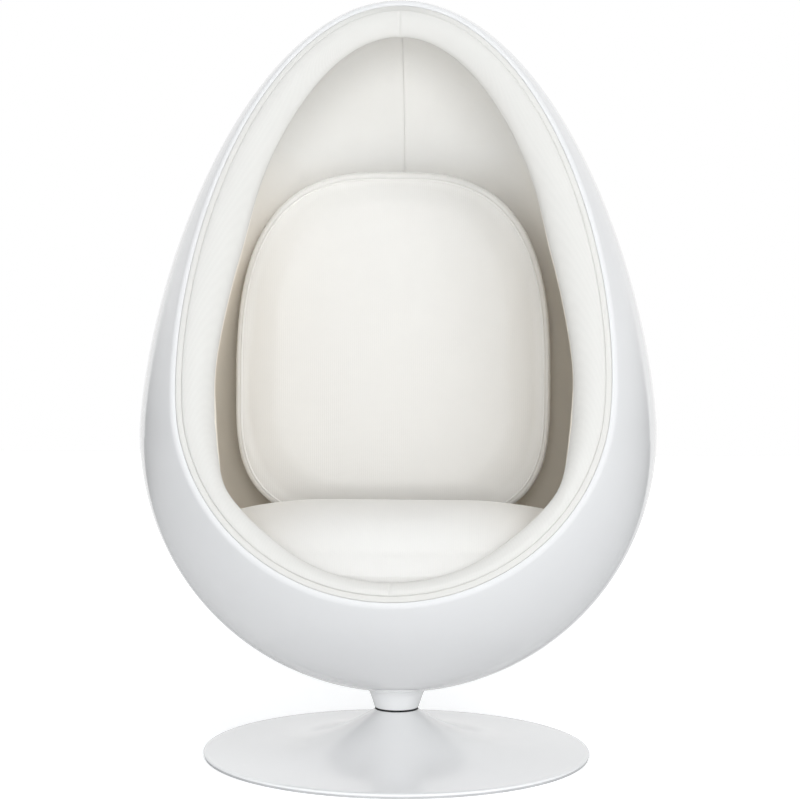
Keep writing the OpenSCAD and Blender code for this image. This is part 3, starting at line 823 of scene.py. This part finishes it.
def roll_section(form, padding, angles):
    """Rows of the roll's section: a round outer side, a crown, and a soft fall to the lining."""
    clear, least_width = 0.0002, 0.006
    draw, draw_run, join = 0.009, 0.09, 0.006  # how the overhang draws back above the bottom
    crown_at, crown_share = 0.013, 0.4  # inset of the crown, and its most as a share of the width
    groove, roundness = 0.0006, 0.7
    behind_at, lean, hold, bulge = 0.045, 0.65, 0.013, 2.2  # the curve's run into the lining

    x, up, shell, lining, behind = rim_insets(form, padding, angles)
    depth, crown = padding.roll_depth, padding.roll_crown
    start = shell + padding.welt_width + clear
    foot = np.maximum(behind, start + least_width) + side_swell(up, depth)
    over = lining + padding.roll_over - draw * eased((up - BOTTOM) / draw_run)
    edge = (foot + over + np.hypot(foot - over, join)) / 2
    peak = start + np.minimum(crown_at, (edge - start) * crown_share)
    dip = seam_dip(x, padding)
    rows = [(start, np.full(len(x), -depth))]
    for turn in [math.pi / 2 * k / 12 for k in range(13)]:
        fall = (crown + groove * seam_open(up)) * (1 - math.sin(turn) ** roundness)
        inset = start + (peak - start) * (1 - math.cos(turn))
        rows.append((inset, crown - fall - dip * math.sin(turn)))
    slant = np.stack([lining - behind - side_swell(up, behind_at) * lean, np.full(len(x), depth)])
    slant *= hold / np.hypot(*slant)
    turn_in = foot + slant[0] + (edge - foot) * bulge
    for t in [k / 30 for k in range(1, 31)]:
        near, mid, late, end = (1 - t) ** 3, 3 * t * (1 - t) ** 2, 3 * t * t * (1 - t), t ** 3
        inset = near * peak + mid * (peak + (edge - peak) * 0.5) + late * turn_in + end * foot
        ahead = (near + mid) * crown + late * (slant[1] - depth) - end * depth
        rows.append((inset, ahead - dip * (near + mid + late)))
    return rows


class PodChairRoll(bpy.types.Operator):
    """Builds the soft padded roll round the opening"""

    bl_idname = "pod_chair.roll"
    bl_label = "Roll"

    def execute(self, context):
        _, padding, _, _ = settings()
        form = PodForm()
        _, angles = ring_angles()
        points, faces = sweep(form, roll_section(form, padding, angles), angles)
        # Painted light: the roll's cloth is painted darker than the lining's, which is the same
        # cloth, against the full light on the roll.
        finish = cloth("roll_cloth", context.scene.pod_chair_colours.roll, 0.0036, 0.00008, True)
        roll = add_piece("roll", points, faces, finish, "pod", ["edge_roll"])
        return {"FINISHED"}


class PodChairLining(bpy.types.Operator):
    """Builds the two padded halves of the lining with the seam between them"""

    bl_idname = "pod_chair.lining"
    bl_label = "Lining"

    def execute(self, context):
        pod, padding, _, _ = settings()
        clear, half_seam, first_step = 0.0004, 0.0002, 0.004
        form = PodForm()
        right, _ = ring_angles()
        outside = form.inset(pod.wall + clear)
        pole, back_pole = form.deepest(form.cavity), form.deepest(outside)
        first = padding.roll_depth + clear
        depths = pole[0] * np.sin(np.radians(np.linspace(2.4, 89.2, 84)))
        depths = [first] + [d for d in depths if d > first + first_step]
        scale = (back_pole[0] - first) / (pole[0] - first)
        inner, outer = [], []
        for d in depths:
            x, up = form.ring(form.cavity, d, right, pole)
            nx, nu = form.inward(form.cavity, x, up, d)
            move = side_swell(up, d) - seam_dip(x, padding)
            inner.append(form.world(x + nx * move, up + nu * move, -d))
            back = first + (d - first) * scale
            outer.append(form.world(*form.ring(outside, back, right, back_pole), -back))

        n, half = len(right), len(depths)
        low_row = (2 * half - 1) * n
        ends = [[form.pole_point(back_pole)], [form.pole_point(pole, padding.seam_depth)]]
        points = np.concatenate(outer[::-1] + inner + ends)
        a, b = len(points) - 2, len(points) - 1
        faces = grid_faces(2 * half, n, closed=False)
        faces += fan(a, 0, n, closed=False, flip=True) + fan(b, low_row, n, closed=False)
        for edge in (0, n - 1):
            for r in range(half - 1):
                o, i = (half - 1 - r) * n + edge, (half + r) * n + edge
                faces.append((o, i, i + n, o - n))
            faces.append((edge, a, b, low_row + edge))
        partner = {(half - 1 - r) * n + c: (half + r) * n + c
                   for r in range(half) for c in range(n)}
        points[:, 0] = np.maximum(points[:, 0], half_seam)
        faces = open_bottom(points, faces, partner, padding.lining_hole, (0.0, 0.0, form.centre))

        colours = context.scene.pod_chair_colours
        # Painted light and shade: the lining's cloth is painted lighter than the roll's, though it
        # is the same cloth, and darker and warmer low down.
        finish = cloth("lining_cloth", colours.lining, 0.0024, 0.00012, True, colours.lining_painted_shade)
        for name, side, node in (("lining_right_half", 1.0, "lining_right"),
                                 ("lining_left_half", -1.0, "lining_left")):
            made = add_piece(name, points * np.array([side, 1.0, 1.0]), faces, finish,
                             "pod", [node], crease=70)
        return {"FINISHED"}


class SeatShape:
    """The seat cushion's form in the pod's axes: it follows the lining, crowns, and dips behind.

    Angles q start at the front."""

    FLOOR = 0.645  # of the pod's radius, the bottom's depth below the widest level
    CORNER = 12.0  # sharpness of the corners between the sides and the front
    DIP_FROM, DIP_RUN = 0.1, 0.28  # shares of the radius behind the middle
    SHOULDER, SIDE_FALL, FRONT_FALL = 3.6, 0.55, 0.35  # fullness of the top and of its edge

    def __init__(self, form):
        pod, _, cushions, _ = settings()
        self.form, self.cushions = form, cushions
        self.floor = -pod.radius * self.FLOOR
        self.crown = self.floor + cushions.seat_height

    def turn(self, q):
        """Height at which the sides turn into the top."""
        c = self.cushions
        return self.crown - c.seat_side_drop - c.seat_front_drop * ((1 + np.cos(q)) / 2) ** 2

    def wall(self, height, q):
        """Radius inside the lining at the sides, and behind the roll at the front."""
        form, gap = self.form, self.cushions.seat_gap
        _, padding, _, _ = settings()
        side = form.radius(form.cavity, height) - gap
        reach = form.reach - padding.roll_depth - gap - height * math.sin(form.turn)
        reach = reach / math.cos(form.turn)
        front = np.maximum(0, np.cos(q)) / reach
        return (side ** -self.CORNER + front ** self.CORNER) ** (-1 / self.CORNER)

    def top(self, part, q):
        """Height of the top at a share of the wall's radius."""
        front = (1 + np.cos(q)) / 2
        fall = self.SIDE_FALL + self.FRONT_FALL * front * front
        dip = self.cushions.seat_dip * eased((-part * np.cos(q) - self.DIP_FROM) / self.DIP_RUN)
        low = self.turn(q)
        return low + (self.crown - dip - low) * (1 - part ** self.SHOULDER) ** fall


class PodChairSeat(bpy.types.Operator):
    """Builds the domed seat cushion as a filled cover"""

    bl_idname = "pod_chair.seat"
    bl_label = "Seat cushion"

    def execute(self, context):
        _, _, cushions, _ = settings()
        foot_share, foot_round, draw_in = 0.9, 0.014, 0.005
        form = PodForm()
        shape = SeatShape(form)
        q = np.linspace(0, 2 * math.pi, 168, endpoint=False)
        turn = shape.turn(q)

        def row(radius, height):
            return form.from_pod(radius * np.sin(q), radius * np.cos(q), height + 0 * q)

        foot = shape.wall(np.full(len(q), shape.floor), q) * foot_share
        rows = [row(foot * k / 16, shape.floor) for k in range(1, 17)]
        for h in [k / 22 for k in range(23)]:
            level = shape.floor + foot_round + (turn - shape.floor - foot_round) * h
            rows.append(row(shape.wall(level, q) - draw_in * (1 - h) ** 2, level))
        wall = shape.wall(turn, q)
        for part in [math.cos(math.pi / 2 * k / 45) for k in range(1, 45)]:
            rows.append(row(part * wall, shape.top(part, q)))
        start = form.from_pod(0.0, 0.0, shape.floor)
        end = form.from_pod(0.0, 0.0, shape.top(np.array(0.0), np.array(0.0)))
        points, faces = ring_solid(rows, start, end)
        points = self.fill(form, shape, points, faces, cushions.swell)
        points = self.kept_inside(form, shape, points)
        colours = context.scene.pod_chair_colours
        finish = cloth("seat_cloth", colours.cushion, 0.0034, 0.00018, False)
        made = add_piece("seat_cover", points, faces, finish, "pod",
                         ["seat_cushion"])
        return {"FINISHED"}

    def fill(self, form, shape, points, faces, swell):
        """The cover is free on top and in front of the back cushion, and held elsewhere."""
        below, below_run, ahead, ahead_run = 0.075, 0.03, 0.02, 0.12
        _, forward, height = form.to_pod(points)
        free = (np.clip((height - shape.crown + below) / below_run, 0, 1)
                * np.clip((forward + ahead) / ahead_run, 0, 1))
        return fill_cover(points, faces, 0.001 + free * swell, 0.0005 + free * swell)

    def kept_inside(self, form, shape, points):
        """Draws in what would reach the lining, and levels the bottom and the crown."""
        clear, most_crown = 0.002, 0.004
        x, forward, height = form.to_pod(points)
        out = np.hypot(x, forward)
        room = form.radius(form.cavity, height) - clear - out
        pull = np.where(room < 0, 1 + room / np.maximum(out, 1e-6), 1.0)
        height = np.clip(height, shape.floor, shape.crown + most_crown)
        return form.from_pod(x * pull, forward * pull, height)


class BackShape:
    """The back pillow's form: a rounded square outline, a boxed edge and crowned faces.

    Angles q start at the right. The middle lies below half the height."""

    LOW = 0.63  # height below the middle, as a share of the height above it
    SQUARE_LOW, SQUARE_UP = 3.25, 2.85  # squareness of the corners, where 2 is round
    CROWN, CROWN_FALL = 2.6, 0.7  # fullness of the faces and of their edges

    def __init__(self, low, high):
        _, _, cushions, _ = settings()
        self.c = cushions
        self.up = cushions.back_height / (1 + self.LOW)
        self.x = (low[0] + high[0]) / 2
        self.z = high[2] - self.up
        self.y = high[1] - cushions.back_bend - cushions.back_thickness / 2

    def outline(self, part, q, y):
        """Points round the pillow at a share of its outline, at a depth behind its middle."""
        cos, sin = np.cos(q), np.sin(q)
        round_by = 2 / np.where(sin < 0, self.SQUARE_LOW, self.SQUARE_UP)
        x = part * self.c.back_width / 2 * np.sign(cos) * np.abs(cos) ** round_by
        z = part * self.up * np.sign(sin) * np.abs(sin) ** round_by
        z = z * np.where(sin < 0, self.LOW, 1.0)
        bend = self.c.back_bend * (1 - (2 * x / self.c.back_width) ** 2)
        return np.stack([self.x + x, self.y + y + bend, self.z + z], -1)

    def half(self, part):
        """Half the thickness at a share of the outline."""
        edge, crown = self.c.back_edge / 2, self.c.back_thickness / 2
        return float(edge + (crown - edge) * (1 - part ** self.CROWN) ** self.CROWN_FALL)


class PodChairBack(bpy.types.Operator):
    """Builds the back pillow as a filled cover with a boxed, piped edge"""

    bl_idname = "pod_chair.back"
    bl_label = "Back cushion"

    def execute(self, context):
        _, _, cushions, _ = settings()
        seam, box_fullness = 0.962, 0.8  # the seams' share of the outline, and the box's shape
        groove = (-2, 0.0004), (-1, 0.0014), (0, 0.0026), (1, 0.0014), (2, 0.0004)
        shape = BackShape(*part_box("back_cushion"))
        q = np.radians(np.linspace(0, 360, 200, endpoint=False))
        parts = [math.sin(math.pi / 2 * k / 34) * seam for k in range(1, 35)]
        rows = [shape.outline(p, q, -shape.half(p)) for p in parts]
        for turn in [math.pi * k / 14 for k in range(1, 14)]:
            part = seam + (1 - seam) * math.sin(turn) ** box_fullness
            rows.append(shape.outline(part, q, -shape.half(seam) * math.cos(turn)))
        rows += [shape.outline(p, q, shape.half(p)) for p in reversed(parts)]
        seams = len(parts) - 1, len(rows) - len(parts)
        start, end = [shape.outline(0.0, np.array([0.0]), side * shape.half(0.0))[0]
                      for side in (-1, 1)]
        points, faces = ring_solid(rows, start, end)
        points = self.fill(shape, points, faces, cushions)

        grid = points[:-2].reshape(len(rows), len(q), 3)
        middle = grid.mean((0, 1))
        lines = []
        for k in seams:
            for offset, depth in groove:
                toward = middle - grid[k + offset]
                toward /= np.linalg.norm(toward, axis=1)[:, None]
                grid[k + offset] += toward * depth
            lines.append(grid[k].copy())
        points[:-2] = grid.reshape(-1, 3)
        colours = context.scene.pod_chair_colours
        finish = cloth("back_cloth", colours.cushion, 0.0034, 0.00018, False)
        made = add_piece("back_cover", points, faces, finish, "pod",
                         ["back_cushion"])
        for number, line in enumerate(lines):
            self.pipe("back_piping_%d" % (number + 1), line, middle, cushions.piping, finish)
        return {"FINISHED"}

    def fill(self, shape, points, faces, cushions):
        """The front is free to swell, and both faces may sink, except beside the boxed edge."""
        clear, front_run, edge_run = 0.004, 0.03, 0.12
        x, y, z = points.T
        front = np.clip((shape.y + clear - y) / front_run, 0, 1)
        height = (z - shape.z) / shape.up / np.where(z < shape.z, 2 * shape.LOW, 2)
        wide = np.hypot((x - shape.x) / cushions.back_width, height)
        free = np.clip((0.5 - wide) / edge_run, 0, 1)
        sink, rise = 0.001 + free * cushions.swell, 0.0004 + front * cushions.swell
        return fill_cover(points, faces, sink, rise)

    def pipe(self, name, line, middle, radius, finish):
        """A thin round piping sewn along a seam."""
        sides, proud = 8, 0.35
        along = np.roll(line, -1, 0) - np.roll(line, 1, 0)
        along /= np.linalg.norm(along, axis=1)[:, None]
        outward = line - middle
        outward -= along * (outward * along).sum(1)[:, None]
        outward /= np.linalg.norm(outward, axis=1)[:, None]
        across = np.cross(along, outward)
        rows = []
        for turn in [2 * math.pi * k / sides for k in range(sides)]:
            out = math.cos(turn) * radius + radius * proud
            rows.append(line + outward * out + across * math.sin(turn) * radius)
        faces = grid_faces(sides, len(line), looped=True)
        add_piece(name, np.concatenate(rows), faces, finish, "pod")


class PodChairPedestal(bpy.types.Operator):
    """Builds the trumpet pedestal and the flared neck above it"""

    bl_idname = "pod_chair.pedestal"
    bl_label = "Pedestal and neck"

    def execute(self, context):
        pod, _, _, base = settings()
        finish = gel_coat("cast_coat", context.scene.pod_chair_colours.casting, 0.2)
        self.casting(base, finish)
        self.neck(pod, base, finish)
        return {"FINISHED"}

    def top(self, b, r):
        """Height of the trumpet's top at a radius."""
        low = b.ring + b.edge
        share = (b.foot_radius - r) / (b.foot_radius - b.neck_radius)
        return low + (b.foot_height - low) * share ** b.flare

    def casting(self, b, finish):
        """The trumpet with its rolled edge, the hub under it, and the ribs between."""
        bore, pocket, hub_low, hub_top = 0.01255, 0.044, 0.0143, 0.0403
        soft, lip_soft, mouth_soft = 0.0005, 0.0008, 0.0006
        edge_low, edge_round = 0.0012, 0.0016
        land_share, spread = 0.72, 0.85  # where the underside meets the floor ring, and the rows
        neck_in, land = b.neck_radius - b.wall, b.foot_radius * land_share
        edge_top = b.ring + b.edge
        corners = [(bore, hub_top, soft), (bore, hub_low, soft), (pocket, hub_low, soft),
                   (pocket, b.ring), (b.hub_radius, b.ring)]
        for r in np.linspace(b.hub_radius, land, 40):
            corners.append((r, max(b.ring, self.top(b, r) - b.wall)))
        corners += [(b.foot_radius - edge_low, b.ring), (b.foot_radius, b.ring + edge_low),
                    (b.foot_radius, edge_top - edge_round),
                    (b.foot_radius - 0.0006, edge_top - 0.0005)]
        first = b.foot_radius - edge_round
        over = first - (first - b.neck_radius) * np.linspace(0, 1, 72) ** spread
        corners += [(r, self.top(b, r)) for r in over]
        corners[-1] += (lip_soft,)
        corners += [(neck_in, b.foot_height, mouth_soft), (neck_in, hub_top, soft)]
        points, faces = lathe(rounded(corners))
        points = list(points)

        hub_overlap, land_gap, ceiling_overlap, least = 0.001, 0.004, 0.0006, 0.0004
        reach = np.linspace(b.hub_radius - hub_overlap, land - land_gap, 26)
        for k in range(b.ribs):
            turn = 2 * math.pi * (k + 0.5) / b.ribs
            c, s = math.cos(turn), math.sin(turn)
            start = len(points)
            for r in reach:
                ceiling = max(self.top(b, r) - b.wall + ceiling_overlap, edge_top + least)
                for side, z in ((-1, edge_top), (1, edge_top), (1, ceiling), (-1, ceiling)):
                    w = side * b.rib / 2
                    points.append((r * c - w * s, r * s + w * c, z))
            faces += grid_faces(len(reach), 4, start=start)
            last = len(points) - 4
            faces += [tuple(range(start, start + 4)), tuple(range(last + 3, last - 1, -1))]
        add_piece("pedestal_casting", points, faces, finish, "base", ["pedestal"],
                  crease=38)

    def neck(self, pod, b, finish):
        """The flared neck, which fits the shell's bottom and has a pocket for the ring below."""
        sleeve, skirt, pocket = 0.02025, 0.0253, 0.009
        chamfer, first_rise, soft, side_soft = 0.0012, 0.0022, 0.001, 0.0012
        flare, sharpness = 0.30, 7
        sphere = pod.radius + 0.0003

        def shell_height(r):
            return pod.centre_height - math.sqrt(sphere ** 2 - r ** 2)

        low, high = b.collar_foot, shell_height(b.collar_top)
        side = []
        for h in np.linspace(0, 1, 34):
            grow = (1 - flare) * h + flare * h ** sharpness
            side.append((b.collar_low + (b.collar_top - b.collar_low) * grow,
                         low + first_rise + (high - low - first_rise) * h))
        side[0] += (side_soft,)
        dome = [(r, shell_height(r)) for r in np.linspace(b.collar_top, sleeve, 14)[1:]]
        corners = [(sleeve, low + pocket), (skirt, low + pocket), (skirt, low),
                   (b.collar_low - chamfer, low, soft)] + side + dome
        points, faces = lathe(rounded(corners))
        add_piece("neck", points, faces, finish, "pod", ["neck_collar"], crease=40)


class PodChairHardware(bpy.types.Operator):
    """Gives the carried-over inner pieces their finishes"""

    bl_idname = "pod_chair.hardware"
    bl_label = "Inner pieces"

    def execute(self, context):
        steel = metal("turned_steel", (0.62, 0.62, 0.62), 0.22, 0.00002)
        dark = metal("blackened_steel", (0.10, 0.10, 0.105), 0.38, 0.00004, False)
        finishes = {
            "spindle": steel, "lower_race": steel, "upper_race": steel,
            "thrust_balls": steel, "end_washer": steel, "plate_washers": steel,
            "swivel_sleeve": metal("drawn_steel", (0.42, 0.42, 0.43), 0.32, 0.00003),
            "backing_plate": metal("rolled_steel", (0.36, 0.36, 0.37), 0.42, 0.00006, False),
            "spindle_bolts": dark, "plate_bolts": dark, "circlip": dark,
            "ball_cage": metal("cage_metal", (0.66, 0.47, 0.20), 0.3, 0.00003),
            "lower_bush": rubber("bush_moulding", (0.30, 0.20, 0.12)),
            "upper_bush": rubber("bush_moulding_upper", (0.30, 0.20, 0.12)),
            "floor_ring": rubber("floor_rubber", (0.42, 0.42, 0.425)),
            "neck_ring": rubber("neck_rubber", (0.012, 0.012, 0.013)),
            "shell_pad": laminate("pad_laminate", (0.52, 0.46, 0.32)),
            "seat_base": foam("seat_foam", (0.80, 0.74, 0.52)),
        }
        for node, finish in finishes.items():
            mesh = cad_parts[node].data
            mesh.materials.clear()
            mesh.materials.append(finish)
        return {"FINISHED"}


class PodChairStudio(bpy.types.Operator):
    """Builds the floor, the lights, the world and the camera"""

    bl_idname = "pod_chair.studio"
    bl_label = "Studio"

    def execute(self, context):
        scene = context.scene
        scene.view_settings.view_transform = "Standard"
        self.floor(scene)
        self.world(scene)
        self.lamp("key", (1.7, -3.4, 2.9), (0, 0, 0.6), 2.4, 48)
        self.lamp("front", (0.25, -4.2, 0.95), (0, 0, 0.85), 1.7, 72)
        self.lamp("over", (0.0, -0.6, 3.8), (0, 0, 0.5), 3.2, 8)
        self.lamp("rear", (-1.6, 3.2, 2.8), (0, 0, 0.6), 2.4, 30)
        self.camera(scene)
        return {"FINISHED"}

    def floor(self, scene):
        """A pale floor that takes the shadow near the object and fades to white further out."""
        fade_from, fade_run, near_glow, near_mirror = 1.2, 2.6, 0.4, 0.3
        bm = bmesh.new()
        bmesh.ops.create_grid(bm, x_segments=8, y_segments=8, size=14.0)
        mesh = bpy.data.meshes.new("studio_floor")
        bm.to_mesh(mesh)
        bm.free()
        made = new_object("studio_floor", mesh)
        f = Finish("studio_floor")
        f.set(Base_Color=tone(scene.pod_chair_colours.floor), Roughness=0.7, Specular_IOR_Level=0.1)
        x, y, _ = f.axes()
        reach = (x * x + y * y) ** 0.5
        far = ((reach - fade_from) / fade_run).clamped()
        straight = f.node("ShaderNodeLightPath", output="Is Camera Ray")
        mirrored = f.node("ShaderNodeEmission", inputs={"Strength": f.backdrop(y / reach, 1.0)})
        glow = straight * (far * (1 - near_glow) + near_glow)
        light = f.node("ShaderNodeEmission", inputs={"Strength": glow})
        mirroring = (f.seen() - straight) * (far * (1 - near_mirror) + near_mirror)
        lit = f.node("ShaderNodeMixShader", inputs={
            0: mirroring, 1: Signal(f, f.shader.outputs[0]), 2: mirrored})
        whole = f.node("ShaderNodeAddShader", inputs={0: lit, 1: light})
        f.node("ShaderNodeOutputMaterial", {"is_active_output": True}, {"Surface": whole})
        mesh.materials.append(f.material)

    def world(self, scene):
        """Soft light from all round, and the white or grey backdrop that camera and gloss see."""
        soft, soft_white, grey_top, grey_fade = 0.53, (0.96, 0.98, 1.0, 1.0), 0.02, 0.18
        world = bpy.data.worlds.new("studio")
        scene.world = world
        world.use_nodes = True
        world.node_tree.nodes.clear()
        n = Nodes(world.node_tree)
        plain = n.node("ShaderNodeBackground", inputs={"Color": soft_white, "Strength": soft})
        way = n.node("ShaderNodeTexCoord", output="Generated")
        behind, up = [n.node("ShaderNodeSeparateXYZ", inputs={"Vector": way}, output=axis)
                      for axis in "YZ"]
        low = 1 - ((up - grey_top) / grey_fade).clamped()
        white = n.node("ShaderNodeBackground", inputs={
            "Color": (1.0, 1.0, 1.0, 1.0), "Strength": n.backdrop(behind, low)})
        sky = n.node("ShaderNodeMixShader", inputs={0: n.seen(), 1: plain, 2: white})
        n.node("ShaderNodeOutputWorld", inputs={"Surface": sky})

    def lamp(self, name, place, aim, size, power):
        """A round lamp, its diameter in metres and its power in watts, that gloss doesn't show."""
        data = bpy.data.lights.new(name, "AREA")
        data.shape = "DISK"
        data.size = size
        data.energy = power
        data.color = (0.965, 0.985, 1.0)
        made = new_object(name, data)
        made.location = place
        made.rotation_euler = (Vector(place) - Vector(aim)).to_track_quat("Z", "Y").to_euler()
        made.visible_glossy = False

    def camera(self, scene):
        """The photograph's camera: 70 mm lens, 2.6 m away and 58 cm high, slightly to the right."""
        turn, roll, away, height = math.radians(2.094), math.radians(0.347), 2.6023, 0.5822
        side, lens, middle = 800, 1567.07, 398.472  # all in pixels of the photograph
        data = bpy.data.cameras.new("camera")
        data.sensor_width = 36.0
        data.lens = lens * data.sensor_width / side
        data.shift_x = (side / 2 - middle) / side
        data.clip_end = 60
        made = new_object("camera", data)
        right = Vector((math.cos(turn), math.sin(turn), 0))
        up = Vector((0, 0, 1))
        back = Vector((math.sin(turn), -math.cos(turn), 0))
        across = right * math.cos(roll) + up * math.sin(roll)
        above = up * math.cos(roll) - right * math.sin(roll)
        made.matrix_world = Matrix((
            (across.x, above.x, back.x, away * math.sin(turn)),
            (across.y, above.y, back.y, -away * math.cos(turn)),
            (across.z, above.z, back.z, height),
            (0, 0, 0, 1)))
        scene.camera = made


class PodChairPanel(bpy.types.Panel):
    """Lists the sizes, the colours and the pieces"""

    bl_idname = "VIEW3D_PT_pod_chair"
    bl_label = "Pod chair"
    bl_space_type = "VIEW_3D"
    bl_region_type = "UI"
    bl_category = "Pod chair"

    def draw(self, context):
        for group in GROUPS:
            box = self.layout.box()
            box.label(text=group.__doc__)
            values = getattr(context.scene, GROUPS[group])
            for name in group.__annotations__:
                box.prop(values, name)
        for piece in PIECES:
            self.layout.operator(piece.bl_idname)


GROUPS = {
    PodChairPod: "pod_chair_pod",
    PodChairPadding: "pod_chair_padding",
    PodChairCushions: "pod_chair_cushions",
    PodChairBase: "pod_chair_base",
    PodChairColours: "pod_chair_colours",
}
PIECES = (PodChairShell, PodChairWelt, PodChairRoll, PodChairLining, PodChairSeat, PodChairBack,
          PodChairPedestal, PodChairHardware, PodChairStudio)


def register():
    for kind in (*GROUPS, *PIECES, PodChairPanel):
        bpy.utils.register_class(kind)
    for group, name in GROUPS.items():
        setattr(bpy.types.Scene, name, bpy.props.PointerProperty(type=group))


def unregister():
    for name in GROUPS.values():
        delattr(bpy.types.Scene, name)
    for kind in reversed((*GROUPS, *PIECES, PodChairPanel)):
        bpy.utils.unregister_class(kind)


def main():
    register()
    for piece in PIECES:
        family, name = piece.bl_idname.split(".")
        if getattr(getattr(bpy.ops, family), name)() != {"FINISHED"}:
            raise RuntimeError(piece.bl_label + " wasn't finished")


if __name__ == "__main__":
    main()
